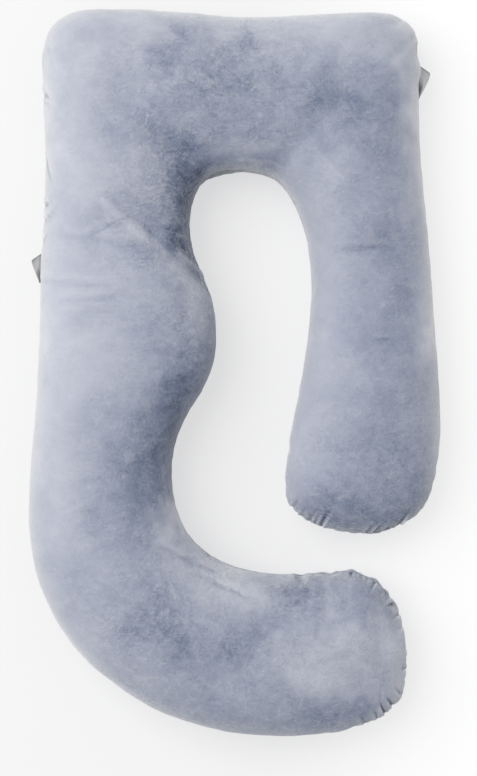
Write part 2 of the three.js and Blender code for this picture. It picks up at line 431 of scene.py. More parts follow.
def ordered_seam(obj):
    """The places of the seam's points, in order round the whole pillow."""
    values = np.empty(len(obj.data.vertices))
    obj.data.attributes["on_seam"].data.foreach_get("value", values)
    on_seam = values > ON_SEAM_FROM
    edges = edge_ends(obj.data)
    links = links_of(edges[on_seam[edges].all(axis=1)].tolist())
    points = vectors_of(obj.data, "co")
    ends = [number for number, linked in links.items() if len(linked) == 1]

    def nearest_end(numbers, place):
        return min(numbers, key=lambda number: np.linalg.norm(points[number] - place))

    order = follow_chain(links, nearest_end(ends, np.array(SHORT_ARM_TIP)))
    left = [number for number in ends if number not in order]
    order += follow_chain(links, nearest_end(left, points[order[-1]]))
    return points[order]


seam_line = ordered_seam(cover)
seam_steps = np.linalg.norm(np.diff(seam_line, axis=0), axis=1)
seam_along = np.concatenate([[0], np.cumsum(seam_steps)])
print(f"seam: {len(seam_line)} points, {seam_along[-1]:.2f} m round")


# %% Measure along and away from the seam
def nearest_on_seam(points):
    """How far along the seam, and how far away from it, each point lies."""
    tree = kdtree.KDTree(len(seam_line))
    for number, place in enumerate(seam_line):
        tree.insert(place, number)
    tree.balance()
    found = [tree.find(place) for place in points]
    numbers = np.array([match[1] for match in found])
    return seam_along[numbers], np.array([match[2] for match in found])


along, away = nearest_on_seam(vectors_of(cover.data, "co"))

# %% [markdown]
# ## Where a point shows in the photograph
#
# Folds and brushed places were read off the photograph in its own pixels, 477 across and 776
# down. The camera of this scene sees the pillow in the same way, so each point of the cover
# gets the pixel where it shows. A fold can then be placed by its pixels, and it still sits on
# the cover, seen from any side.

# %% Pixels of the cover's points
FRAME_WIDTH = 477


def pixels_of(points):
    """The photograph's pixel that each point shows at."""
    metres_each = PIXEL * (camera_distance + SEAM_HEIGHT - points[:, 2]) / camera_distance
    across = FRAME_WIDTH / 2 + (points[:, 0] - CAMERA_X) / metres_each
    down = FRAME_HEIGHT / 2 - (points[:, 1] - CAMERA_Y) / metres_each
    return across, down


# %% [markdown]
# ## Puckers along the seam
#
# A pucker is a short dent that starts at the seam and fades into the face. They crowd at the
# two ends, where the seam thread is pulled tight, and in the inner curves, where there is too
# much cloth. On straight stretches they are faint and far apart. The two faces of the cover
# pucker separately, so each one has its own row.

# %% Puckers
PUCKER_ZONES = {  # slant is sideways run for each metre away from the seam, the rest metres
    "end": {"pitch": 0.0105, "depth": 0.0034, "width": 0.0034, "length": 0.036, "slant": 0.35},
    "curve": {"pitch": 0.021, "depth": 0.0013, "width": 0.0062, "length": 0.034, "slant": 0.5},
    "plain": {"pitch": 0.05, "depth": 0.0007, "width": 0.011, "length": 0.04, "slant": 0.6},
}
PUCKER_SPREAD = {  # least and most of its zone's size that a pucker gets
    "depth": (0.25, 1.25),
    "width": (0.75, 1.35),
    "length": (0.45, 1.6),
    "slant": (-1.0, 1.0),
}
PITCH_SPREAD = (0.6, 1.5)
END_PUCKERS = 0.145  # from a tip
CURVES = [  # centre of a curve along the inner seam, and how far its puckers reach
    (Vector((-0.045, 0.365, 0.08)), 0.13),
    (Vector((0.085, 0.345, 0.08)), 0.12),
    (Vector((-0.09, 0.21, 0.08)), 0.13),
    (Vector((-0.11, -0.13, 0.08)), 0.17),
    (Vector((0.0, -0.34, 0.08)), 0.2),
]
random_puckers = np.random.default_rng(11)


# %% Lay out the puckers
def pucker_zone(place):
    """Which row of PUCKER_ZONES a place on the seam belongs to."""
    if tip_distance(place) < END_PUCKERS:
        return "end"
    if any((place - centre).length < reach for centre, reach in CURVES):
        return "curve"
    return "plain"


def pucker_row(draw):
    """Puckers all round the seam: place along it, depth, width, length and slant of each."""
    row = []
    at = 0.0
    while at < seam_along[-1]:
        number = int(np.searchsorted(seam_along, at))
        zone = PUCKER_ZONES[pucker_zone(Vector(seam_line[number]))]
        sizes = [zone[size] * draw.uniform(*spread) for size, spread in PUCKER_SPREAD.items()]
        row.append((at, *sizes))
        at += zone["pitch"] * draw.uniform(*PITCH_SPREAD)
    return row


def pucker_depths(row, face):
    """How far the puckers of one face push its points in."""
    depths = np.zeros(len(along))
    for at, depth, width, length, slant in row:
        near = face & (np.abs(along - at) < length * abs(slant) + 3 * width) & (away < length)
        off = (along[near] - at - slant * away[near]) / width
        depths[near] += depth * np.exp(-off * off) * soft_step(1 - away[near] / length)
    return depths


# %% [markdown]
# ## Folds that the photograph shows
#
# Some folds are large enough to see one by one. Each runs between two pixels, from the seam
# into the face, and is a narrow valley with a ridge of pushed-up cloth on one side. The few
# nicks in the outer edge are folds of the same kind, which fade a short way from the seam.

# %% Folds at the two ends
# x and y at the seam, x and y at its end, depth in mm, width in mm, ridge: side and height in mm
SHORT_ARM_FOLDS = [
    (321.0, 526.0, 329.5, 509.0, 8.0, 3.2, -4.6),
    (315.0, 524.5, 320.0, 511.0, 3.6, 2.4, -3.6),
    (309.0, 522.0, 314.5, 511.0, 4.4, 2.6, -2.4),
    (300.0, 517.0, 306.0, 506.0, 2.6, 3.0, 1.6),
    (291.5, 509.0, 298.0, 499.0, 2.6, 3.0, 1.5),
    (333.0, 530.0, 340.5, 519.0, 1.6, 3.4, -1.0),
    (345.0, 533.0, 348.0, 523.0, 1.2, 3.4, 1.0),
    (364.0, 536.5, 377.0, 522.0, 3.0, 2.6, 3.0),
    (373.5, 536.0, 386.0, 521.0, 4.6, 2.6, 3.2),
    (384.5, 534.5, 392.0, 525.0, 4.8, 2.8, 1.8),
    (396.0, 531.0, 409.5, 511.0, 6.0, 2.6, -3.6),
    (404.0, 527.5, 411.0, 516.0, 2.4, 2.6, 2.0),
    (417.0, 517.0, 423.0, 506.0, 1.8, 3.4, 1.0),
]
HOOK_FOLDS = [
    (350.5, 568.0, 352.0, 577.0, 6.5, 2.8, 2.6),
    (356.5, 569.0, 356.5, 579.0, 2.6, 2.6, 1.8),
    (363.0, 571.0, 360.5, 582.0, 3.0, 2.8, 1.8),
    (369.0, 573.5, 365.0, 584.0, 2.2, 2.6, 1.2),
    (377.0, 578.0, 370.5, 590.0, 6.5, 3.0, 2.6),
    (386.0, 588.0, 377.0, 597.0, 1.6, 2.8, 0.9),
    (392.0, 595.0, 384.5, 600.0, 1.4, 2.6, 0.8),
    (396.5, 602.0, 387.0, 606.0, 7.0, 3.4, -4.2),
    (401.5, 612.5, 393.0, 618.0, 3.2, 3.2, 1.6),
    (404.5, 626.0, 397.0, 629.0, 1.6, 3.4, 1.0),
    (407.5, 668.5, 399.0, 669.5, 3.0, 3.6, 2.8),
    (401.5, 695.0, 394.0, 687.0, 2.6, 3.0, 1.6),
    (394.5, 708.5, 386.5, 697.0, 7.5, 3.0, 2.8),
    (386.5, 715.5, 380.0, 703.0, 7.0, 3.0, 2.8),
    (379.0, 721.0, 373.5, 710.0, 4.0, 2.8, 2.0),
    (366.5, 727.0, 360.5, 716.0, 5.0, 3.2, 2.0),
]

# %% Nicks in the outer edge
EDGE_NICKS = [  # in the same columns
    (43.0, 48.0, 50.0, 50.0, 4.6, 3.2, 1.2),
    (44.0, 96.0, 50.0, 97.0, 4.2, 3.4, 1.0),
    (45.0, 104.0, 51.0, 106.0, 1.8, 3.4, 1.0),
    (48.0, 170.0, 52.0, 186.0, 4.2, 3.4, 1.2),
    (45.0, 204.0, 51.0, 201.0, 5.0, 3.4, 1.0),
    (44.0, 219.0, 52.0, 212.0, 3.2, 3.8, 1.2),
    (40.0, 246.0, 48.0, 230.0, 3.2, 4.0, 1.4),
    (420.0, 36.0, 412.0, 40.0, 5.6, 3.2, 1.4),
    (421.0, 45.0, 414.0, 47.0, 4.4, 3.2, 1.0),
]
NICK_REACH = 0.05  # metres from the seam where a nick has mostly faded

# %% Depth and painted shade of a fold
END_GIVE = 0.6  # share of their depths that the tight cloth keeps at the ends
FOLD_START = -0.6  # of a fold's length, so that it also runs down over the seam
FOLD_END = 1.15
FOLD_FADE = 0.8  # share of its length over which it fades
RIDGE_OFF = 1.7  # widths from the valley's middle to the ridge's
# Painted shade in a fold's valley and painted highlight on its ridge
FULL_FOLD = 6.0  # depth in mm from which a valley is as dark as it gets
FULL_RIDGE = 3.2  # height in mm from which a ridge is as bright as it gets
VALLEY_WIDTH = 0.0021
VALLEY_PAINTED_SHADE = 0.82
CREST_OFF = 0.0042
CREST_WIDTH = 0.0018
CREST_PAINTED_HIGHLIGHT = 0.7


def beside_fold(fold, across, down):
    """How far off a fold each point lies in metres, and how much of the fold is left there."""
    start = np.array(fold[:2])
    run = np.array(fold[2:4]) - start
    length = np.linalg.norm(run)
    run /= length
    to_x = across - start[0]
    to_y = down - start[1]
    t = (to_x * run[0] + to_y * run[1]) / length
    fade = np.clip((FOLD_END - t) / FOLD_FADE, 0, 1) * (t > FOLD_START)
    return (to_x * run[1] - to_y * run[0]) * PIXEL, soft_step(fade)


def fold_depths(folds, across, down, face, give=1.0):
    """How far the folds push the points of one face in. A ridge pushes them out."""
    depths = np.zeros(len(across))
    for fold in folds:
        depth, width, ridge = fold[4:]
        off, fade = beside_fold(fold, across, down)
        side = off * 1000 / width
        valley = depth * np.exp(-side * side)
        beside = abs(ridge) * np.exp(-(side - RIDGE_OFF * np.sign(ridge)) ** 2)
        depths += np.where(face, (valley - beside) * fade, 0) / 1000
    return depths * give


def fold_tones(folds, across, down, face):
    """Painted shade in the valleys and painted highlight on the ridges, as a factor."""
    tones = np.ones(len(across))
    for fold in folds:
        depth, _, ridge = fold[4:]
        off, fade = beside_fold(fold, across, down)
        valley = np.exp(-((off / VALLEY_WIDTH) ** 2)) * min(depth / FULL_FOLD, 1)
        crest = np.sign(ridge) * CREST_OFF
        beside = np.exp(-(((off - crest) / CREST_WIDTH) ** 2)) * min(abs(ridge) / FULL_RIDGE, 1)
        tones *= 1 - np.where(face, VALLEY_PAINTED_SHADE * valley * fade, 0)
        tones *= 1 + np.where(face, CREST_PAINTED_HIGHLIGHT * beside * fade, 0)
    return tones


# %% [markdown]
# ## Uneven filling and soft creases
#
# The filling is soft fibre, so the faces are never even: they swell and sink by a few
# millimetres, and where the pillow bends the slack cloth lies in long soft creases. Smooth
# noise gives the first. The second is a short list of creases, like the folds above but wider
# and with no hard valley.

# %% Uneven filling and soft creases
FILLING_LUMPS = [  # size in metres, height in metres
    (0.16, 0.0032),
    (0.07, 0.0016),
    (0.028, 0.0005),
]
LUMP_SHIFT = Vector((0.0, 5.1, 2.9))
LUMP_SHIFT_EACH = Vector((13.7, 0.0, 0.0))
SOFT_CREASES = [  # in the same columns as the folds
    (104.0, 229.0, 129.0, 219.0, 1.0, 7.0, 0.8),
    (131.0, 217.0, 172.0, 255.0, 0.8, 8.0, -1.2),
    (96.0, 240.0, 150.0, 247.0, 0.8, 7.0, 0.6),
    (190.0, 236.0, 160.0, 226.0, 2.4, 6.0, 1.2),
    (196.0, 262.0, 174.0, 243.0, 2.6, 6.0, 1.5),
    (204.0, 284.0, 184.0, 262.0, 2.4, 6.0, -1.4),
    (70.0, 284.0, 120.0, 288.0, 1.0, 7.0, 0.6),
    (84.0, 300.0, 128.0, 297.0, 1.0, 7.0, 0.6),
    (296.0, 574.0, 311.0, 592.0, 1.8, 6.5, -1.0),
    (214.0, 582.0, 246.0, 595.0, 1.2, 5.0, 0.8),
    (180.0, 556.0, 214.0, 574.0, 1.2, 5.0, 0.8),
    (358.0, 249.0, 398.0, 247.0, 1.1, 6.0, 0.6),
    (380.0, 341.0, 394.0, 340.0, 1.1, 5.0, 0.6),
    (43.0, 225.0, 58.0, 205.0, 1.6, 5.0, 0.8),
    (404.0, 46.0, 388.0, 62.0, 1.0, 8.0, 0.8),
    (402.0, 18.0, 390.0, 26.0, 1.4, 6.0, 1.0),
]


def filling_heights(points):
    """How far the uneven filling pushes each point out."""
    heights = np.zeros(len(points))
    for number, (size, height) in enumerate(FILLING_LUMPS):
        shift = LUMP_SHIFT + LUMP_SHIFT_EACH * number
        heights += height * np.array([noise.noise(Vector(p) / size + shift) for p in points])
    return heights


# %% [markdown]
# ## Fuller sides and lips
#
# At the ends and corners the gathered cloth stands out a little more than the plain solid
# does, and here and there it is drawn in. In some places the lower face also stands out below
# the seam, and shows past the upper one as a narrow lip. Both are round places with a soft
# edge. They move the sides only, so that the pillow keeps its height.

# %% Fuller sides
FULLER = [  # x, y, reach in pixels, mm that the side stands out more
    (286, 497, 16, 4.0),
    (300, 518, 10, 1.5),
    (418, 506, 18, 4.5),
    (433, 480, 16, 2.0),
    (385, 578, 16, 5.0),
    (360, 569, 10, 2.5),
    (402, 602, 14, 3.0),
    (406, 640, 20, 1.5),
    (400, 700, 12, 4.0),
    (385, 716, 10, 3.0),
    (417, 34, 12, 2.5),
    (44, 60, 30, -1.6),
    (424, 71, 8, 7.0),
    (418, 54, 6, -2.5),
]
SIDE_SHARE = 1.3  # how far round from the side a fuller place still shows

# %% Lips of the lower face
LIPS = [  # x, y, reach in pixels, mm that the lower face stands out below the seam
    (416, 38, 8, 3.6),
    (91, 9, 5, 2.6),
    (45, 42, 8, 3.4),
    (44, 88, 8, 3.4),
    (46, 200, 7, 3.0),
    (38, 398, 12, 2.0),
    (351, 571, 4, 3.4),
    (374, 581, 5, 3.8),
    (386, 592, 5, 3.4),
    (397, 607, 7, 4.4),
    (405, 668, 6, 3.0),
    (394, 707, 5, 4.0),
    (384, 716, 5, 4.0),
    (360, 728, 6, 3.0),
    (318, 526, 8, 3.6),
    (376, 534, 9, 3.6),
    (402, 527, 6, 3.2),
    (211, 184, 7, 3.6),
    (220, 178, 9, 4.6),
    (232, 173, 7, 3.0),
]
LIP_REACH = 0.045  # metres from the seam where a lip ends
LIP_START = 0.006  # metres from the seam where it stands out fully
UPPER_SHARE = -0.5  # of a lip's size, by which the upper face draws back
LIP_SHADOW = 0.7  # how dark the groove above a lip is
LEAST_TILT = 0.35  # level part of a normal from which cloth counts as a side


def swelling(places, across, down):
    """How far a list of round places stands out at each point, in metres."""
    out = np.zeros(len(across))
    for x, y, reach, millimetres in places:
        out += millimetres / 1000 * np.exp(-((across - x) ** 2 + (down - y) ** 2) / reach**2)
    return out


def level_normals(normals):
    """The normals' level parts, one long, or nothing where the cloth lies level."""
    level = normals * (1, 1, 0)
    lengths = np.linalg.norm(level, axis=1)[:, None]
    return np.where(lengths > LEAST_TILT, level / np.maximum(lengths, LEAST_TILT), 0)


# %% Measure the cover before it is shaped
SLACK = 0.0012  # the cloth gives a little between the points of the solid
UPPER_FROM = SEAM_HEIGHT - 0.012
SEAM_FADE = 0.03  # metres from the seam over which the lumps begin
FLOOR_FADE = 0.02  # height over which the resting face stays as it is
FACING_UP = 0.05  # upward part of a normal from which the soft creases reach a point

points = vectors_of(cover.data, "co")
normals = vectors_of(cover.data, "normal")
across, down = pixels_of(points)
upper = points[:, 2] > UPPER_FROM
seam_fade = np.clip(away / SEAM_FADE, 0, 1)
floor_fade = np.clip(points[:, 2] / FLOOR_FADE, 0, 1)
nick_shares = np.exp(-((away / NICK_REACH) ** 2))
lips = swelling(LIPS, across, down)
fuller = swelling(FULLER, across, down)
fuller *= np.clip(SIDE_SHARE - np.abs(normals[:, 2]) * SIDE_SHARE, 0, 1)
print("upper face:", int(upper.sum()), "points of", len(points))

# %% Shape the cover
folds = pucker_depths(pucker_row(random_puckers), upper)
folds += pucker_depths(pucker_row(random_puckers), ~upper)
folds += fold_depths(SHORT_ARM_FOLDS + HOOK_FOLDS, across, down, upper, END_GIVE)
folds += fold_depths(EDGE_NICKS, across, down, upper) * nick_shares
folds += fold_depths(SOFT_CREASES, across, down, normals[:, 2] > FACING_UP)
push = filling_heights(points) * seam_fade - folds - SLACK + fuller
points += normals * (push * floor_fade)[:, None]
lip_push = lips * np.where(upper, UPPER_SHARE, 1.0) * np.exp(-((away / LIP_REACH) ** 2))
lip_push *= np.clip(away / LIP_START, 0, 1) * floor_fade
points += level_normals(normals) * lip_push[:, None]
points[:, 2] = np.maximum(points[:, 2], 0)
set_points(cover, points)
print(f"cover: pushed in {-push.min() * 1000:.1f} mm and out {push.max() * 1000:.1f} mm at most")


# %% [markdown]
# ## Painted sheen and painted shade beside the seam
#
# Where the cloth turns down to the seam, a pale band of painted sheen lies beside it. The band
# is wide and strong on the outside of the pillow and narrow and faint in its inner curves, so it
# is listed by its places round the seam. In the inner curves a narrow band of painted shade
# follows the seam instead, listed in the same way.

# %% Painted sheen
PAINTED_SHEEN_BANDS = [  # x and y at the seam, width of the band in metres, its strength
    (362, 532, 0.040, 0.25),
    (386, 529, 0.050, 0.40),
    (420, 505, 0.075, 0.80),
    (438, 440, 0.085, 0.90),
    (424, 210, 0.085, 0.95),
    (417, 110, 0.085, 0.90),
    (407, 25, 0.090, 0.80),
    (233, 19, 0.090, 0.75),
    (51, 30, 0.100, 0.85),
    (43, 250, 0.095, 0.80),
    (33, 542, 0.095, 0.75),
    (88, 658, 0.090, 0.70),
    (177, 717, 0.070, 0.60),
    (279, 733, 0.060, 0.50),
    (351, 726, 0.070, 0.60),
    (390, 704, 0.080, 0.80),
    (402, 650, 0.090, 0.90),
    (397, 612, 0.070, 0.60),
    (379, 585, 0.045, 0.20),
    (347, 571, 0.035, 0.10),
    (293, 577, 0.035, 0.10),
    (228, 566, 0.050, 0.15),
    (182, 526, 0.050, 0.10),
    (172, 450, 0.045, 0.00),
    (197, 397, 0.040, 0.00),
    (215, 326, 0.045, 0.10),
    (206, 286, 0.040, 0.10),
    (189, 240, 0.040, 0.00),
    (193, 199, 0.034, 0.25),
    (200, 187, 0.040, 0.45),
    (213, 174, 0.050, 0.65),
    (249, 171, 0.055, 0.60),
    (278, 180, 0.055, 0.45),
    (308, 239, 0.050, 0.25),
    (310, 330, 0.050, 0.30),
    (299, 401, 0.050, 0.30),
    (285, 481, 0.040, 0.25),
    (301, 515, 0.040, 0.20),
    (350, 531, 0.040, 0.25),
]

# %% Painted shade bands
PAINTED_SHADE_BANDS = [  # x and y at the seam, width of the band in metres, how much darker it is
    (290, 577, 0.018, 0.0),
    (228, 566, 0.018, 0.12),
    (195, 535, 0.020, 0.20),
    (180, 500, 0.020, 0.30),
    (172, 450, 0.020, 0.35),
    (197, 397, 0.024, 0.50),
    (215, 326, 0.020, 0.30),
    (206, 286, 0.018, 0.15),
    (189, 240, 0.020, 0.40),
    (193, 199, 0.018, 0.10),
    (213, 174, 0.018, 0.0),
]
BAND_CORE = 0.005  # metres from the seam over which a band has its full strength


def band_shares(bands, along, away):
    """How strong a row of bands beside the seam is at each point, from 0 to 1."""
    seam_x, seam_y = pixels_of(seam_line)
    stops = []
    for x, y, width, strength in bands:
        nearest = int(np.argmin((seam_x - x) ** 2 + (seam_y - y) ** 2))
        stops.append((seam_along[nearest], width, strength))
    places, widths, strengths = np.array(sorted(stops)).T
    width = np.interp(along, places, widths)
    share = np.clip((width - away) / (width - BAND_CORE), 0, 1)
    return np.interp(along, places, strengths) * soft_step(share)


# %% [markdown]
# ## The lie of the nap
#
# Velvet has a short pile that leans. Where a hand has stroked it towards the light it is pale,
# and where it was stroked the other way it is dark and bluish. So the cover carries a value
# for the nap, from 0, dark, to 1, pale, and the same value carries painted light and shade.
# Faces that look to the top left, towards the light, get painted light, and faces turned away
# get painted shade. A list of oval places, whose edges wander with the cloth, holds brushed
# patches, and along the rims and inner edges painted light and shade. The crest of a fold gets
# a painted highlight, and its valley painted shade.

# %% Brushed places and painted light
NAP_MIDDLE = 0.5
# Painted light and shade: faces towards the light at the top left paler, faces turned away
# darker
PAINTED_LIGHT_LEAN = 0.24  # how much paler the nap is on faces that look to the top left
PAINTED_LIGHT_FROM = (-0.88, 0.47)
# Brushed nap patches, and painted light along the rims and painted shade at the inner edges
BRUSHED_AND_PAINTED_LIGHT = [  # x, y, half width, half height, turn in degrees, how much paler
    (191, 181, 12, 26, 20, -0.21),
    (163, 202, 20, 30, 0, 0.05),
    (136, 62, 20, 18, 0, 0.07),
    (220, 40, 20, 14, 0, 0.05),
    (110, 198, 22, 44, 0, 0.05),
    (141, 279, 26, 22, 0, 0.06),
    (150, 190, 30, 50, 0, 0.06),
    (171, 221, 12, 11, -20, 0.07),
    (92, 522, 26, 16, -30, -0.07),
    (128, 568, 30, 18, 0, 0.06),
    (340, 690, 50, 14, 10, 0.07),
    (152, 34, 16, 10, 0, 0.08),
    (183, 272, 12, 12, 0, 0.06),
    (152, 253, 14, 8, 20, -0.06),
    (350, 150, 40, 10, 0, -0.05),
    (268, 600, 40, 8, 10, -0.06),
    (150, 312, 7, 20, 0, -0.03),
    (82, 322, 24, 10, -20, -0.05),
    (178, 274, 12, 14, 0, 0.10),
    (180, 237, 11, 16, -24, -0.26),
    (188, 214, 8, 16, 0, -0.12),
    (193, 262, 7, 28, -28, -0.12),
    (178, 436, 14, 60, 4, -0.10),
    (158, 432, 24, 66, 4, -0.06),
    (190, 384, 16, 26, 30, -0.08),
    (148, 505, 26, 60, -16, -0.08),
    (184, 38, 18, 12, 0, -0.12),
    (247, 38, 7, 12, 0, -0.11),
    (190, 28, 14, 7, 0, -0.07),
    (294, 69, 28, 26, 0, 0.08),
    (125, 140, 50, 44, 0, 0.06),
    (408, 151, 13, 18, 0, -0.09),
    (392, 690, 24, 14, -30, 0.10),
    (158, 60, 14, 14, 30, -0.09),
    (418, 110, 22, 60, 0, 0.19),
    (246, 80, 16, 9, 40, -0.10),
    (276, 72, 8, 18, 0, -0.09),
    (226, 88, 20, 10, 0, -0.05),
    (182, 146, 14, 14, 0, -0.10),
    (140, 130, 44, 16, 14, -0.05),
    (250, 110, 70, 36, 0, -0.01),
    (372, 300, 20, 80, 0, -0.03),
    (332, 96, 42, 22, 28, -0.10),
    (402, 40, 24, 34, 0, 0.08),
    (402, 250, 18, 92, -3, -0.06),
    (380, 470, 34, 36, 20, -0.04),
    (342, 508, 54, 16, 6, -0.10),
    (158, 618, 34, 24, 32, -0.08),
    (184, 648, 12, 12, 0, -0.09),
    (150, 624, 12, 20, 10, -0.04),
    (226, 652, 30, 14, -10, -0.03),
    (138, 622, 14, 18, 0, -0.07),
    (177, 660, 16, 12, 0, -0.06),
    (274, 632, 16, 14, 0, -0.07),
    (326, 647, 22, 12, 0, -0.05),
    (180, 570, 26, 16, 30, 0.07),
    (246, 150, 36, 10, 0, 0.15),
    (428, 334, 11, 30, 0, 0.20),
    (318, 137, 24, 14, 20, -0.07),
    (413, 253, 9, 14, 0, -0.08),
    (330, 514, 12, 7, 20, -0.09),
    (378, 500, 28, 10, -10, 0.06),
    (120, 16, 60, 10, 0, 0.09),
    (235, 20, 80, 8, 0, 0.08),
    (84, 650, 20, 30, -40, 0.07),
    (228, 575, 40, 14, 26, 0.22),
    (166, 528, 24, 28, -34, 0.18),
    (166, 240, 14, 24, 0, 0.08),
    (196, 318, 12, 26, 0, 0.05),
    (216, 640, 130, 60, 0, 0.03),
    (252, 640, 48, 24, -18, -0.08),
    (300, 594, 20, 13, 12, -0.16),
    (372, 602, 22, 14, 22, -0.07),
    (340, 712, 56, 9, -10, -0.06),
    (76, 110, 30, 74, 0, 0.08),
    (84, 340, 46, 120, 0, 0.10),
    (52, 300, 22, 280, 0, 0.04),
    (64, 60, 40, 44, 0, 0.02),
    (340, 26, 50, 12, 0, 0.06),
    (428, 230, 24, 210, -4, 0.27),
    (440, 450, 14, 60, 0, 0.14),
    (184, 514, 16, 28, -20, 0.34),
    (198, 328, 14, 32, 0, 0.09),
    (173, 316, 12, 34, 0, 0.07),
    (200, 286, 12, 20, -20, 0.18),
    (400, 650, 12, 50, 0, 0.20),
    (384, 645, 20, 40, 0, 0.10),
    (150, 330, 26, 60, 0, 0.04),
    (120, 600, 30, 26, 30, 0.05),
    (72, 520, 24, 60, -14, 0.05),
    (200, 306, 12, 30, -14, 0.10),
    (214, 592, 34, 12, 24, 0.13),
    (262, 598, 26, 9, 8, 0.10),
    (326, 654, 56, 32, -6, 0.16),
    (326, 330, 14, 92, 2, 0.02),
    (338, 156, 26, 18, 36, 0.08),
    (356, 44, 44, 18, 6, 0.08),
    (98, 42, 34, 18, -20, 0.08),
    (256, 32, 60, 9, 2, 0.06),
]

# %% Nap values
BRUSH_STRENGTH = 1.25
EDGE_WARP = 20.0  # pixels that the edge of a brushed place wanders
WIDE_PLACE = 30  # narrower half in pixels from which it wanders so far
LONG_WARP = 0.35  # share of it at long narrow places, such as the pale rims
LONG_PLACE = 4  # times as long as it is wide
WARP_SIZE = 0.05
WARP_SHIFT = Vector((0.0, 31.0, 7.0))
WARP_FRACTAL = (0.7, 2.0, 3)  # how rough, how much finer each layer is, number of layers
TOP_SLOPE = 3.0  # how soon the brushed places fade below the seam
TOP_START = 0.6
# Painted shade in the dents of folds and puckers, painted highlight on their ridges
FOLD_PAINTED_SHADE = 0.07  # for each millimetre of a fold's height
FOLD_PAINTED_SHADE_RANGE = (-0.3, 0.35)
DARKEST_NAP = 0.13
LIP_GROOVE = 0.006  # metres from the seam where the groove above a lip ends
FULL_LIP = 0.003


def nap_and_painted_light_values(points, normals, across, down):
    """The lie of the nap at each point, with painted light and shade, from 0, dark, to 1, pale.
    """
    warp_x = np.array([noise.fractal(Vector(p) / WARP_SIZE, *WARP_FRACTAL) for p in points])
    warp_y = np.array([
        noise.fractal(Vector(p) / WARP_SIZE + WARP_SHIFT, *WARP_FRACTAL) for p in points
    ])
    nap_and_painted_light = NAP_MIDDLE + PAINTED_LIGHT_LEAN * (normals[:, 0] * PAINTED_LIGHT_FROM[0] + normals[:, 1] * PAINTED_LIGHT_FROM[1])
    on_top = np.clip(normals[:, 2] * TOP_SLOPE + TOP_START, 0, 1)
    for x, y, half_width, half_height, turn, paler in BRUSHED_AND_PAINTED_LIGHT:
        cosine = math.cos(math.radians(turn))
        sine = math.sin(math.radians(turn))
        narrow, wide = sorted((half_width, half_height))
        warp = EDGE_WARP * min(narrow / WIDE_PLACE, 1)
        if wide > LONG_PLACE * narrow:
            warp *= LONG_WARP
        to_x = across + warp * warp_x - x
        to_y = down + warp * warp_y - y
        u = (to_x * cosine + to_y * sine) / half_width
        v = (to_y * cosine - to_x * sine) / half_height
        nap_and_painted_light += BRUSH_STRENGTH * paler * np.exp(-(u * u + v * v)) * on_top
    return nap_and_painted_light


def add_point_values(obj, name, values):
    """Keep one number for each point of a mesh, for its material to read."""
    attribute = obj.data.attributes.new(name, "FLOAT", "POINT")
    attribute.data.foreach_set("value", np.ascontiguousarray(values, dtype=np.float32))


# %% Give the cover its nap, with painted light, and its painted shade
normals = vectors_of(cover.data, "normal")
nap_and_painted_light = nap_and_painted_light_values(points, normals, across, down)
# Painted shade in the dents of folds and puckers, painted highlight on their ridges
nap_and_painted_light -= np.clip(folds * 1000 * FOLD_PAINTED_SHADE, *FOLD_PAINTED_SHADE_RANGE)
add_point_values(cover, "nap_and_painted_light", np.clip(nap_and_painted_light, DARKEST_NAP, 1))
add_point_values(cover, "seam_gap", away)
# Painted shade and highlight of folds, painted shadow above lips, painted shade in inner curves
tones = fold_tones(SHORT_ARM_FOLDS + HOOK_FOLDS, across, down, upper)
nick_tones = fold_tones(EDGE_NICKS, across, down, upper)
tones *= 1 + (nick_tones - 1) * nick_shares
above_lip = np.clip(lips / FULL_LIP, 0, 1) * np.exp(-((away / LIP_GROOVE) ** 2))
tones *= 1 - LIP_SHADOW * above_lip
tones *= 1 - band_shares(PAINTED_SHADE_BANDS, along, away)
add_point_values(cover, "painted_shading", tones)
add_point_values(cover, "painted_sheen", band_shares(PAINTED_SHEEN_BANDS, along, away))
print(f"nap: {nap_and_painted_light.mean():.2f} on average")

# %% [markdown]
# ## Fine creases
#
# Some creases are finer than the mesh. Each is a line between two pixels of the photograph.
# The points only carry how far off the nearest line they lie, and how strong it is there. The
# material draws the thin valley from that, as painted shade and a bump as sharp as it needs, and
# lays the pile on its two sides in two different ways.

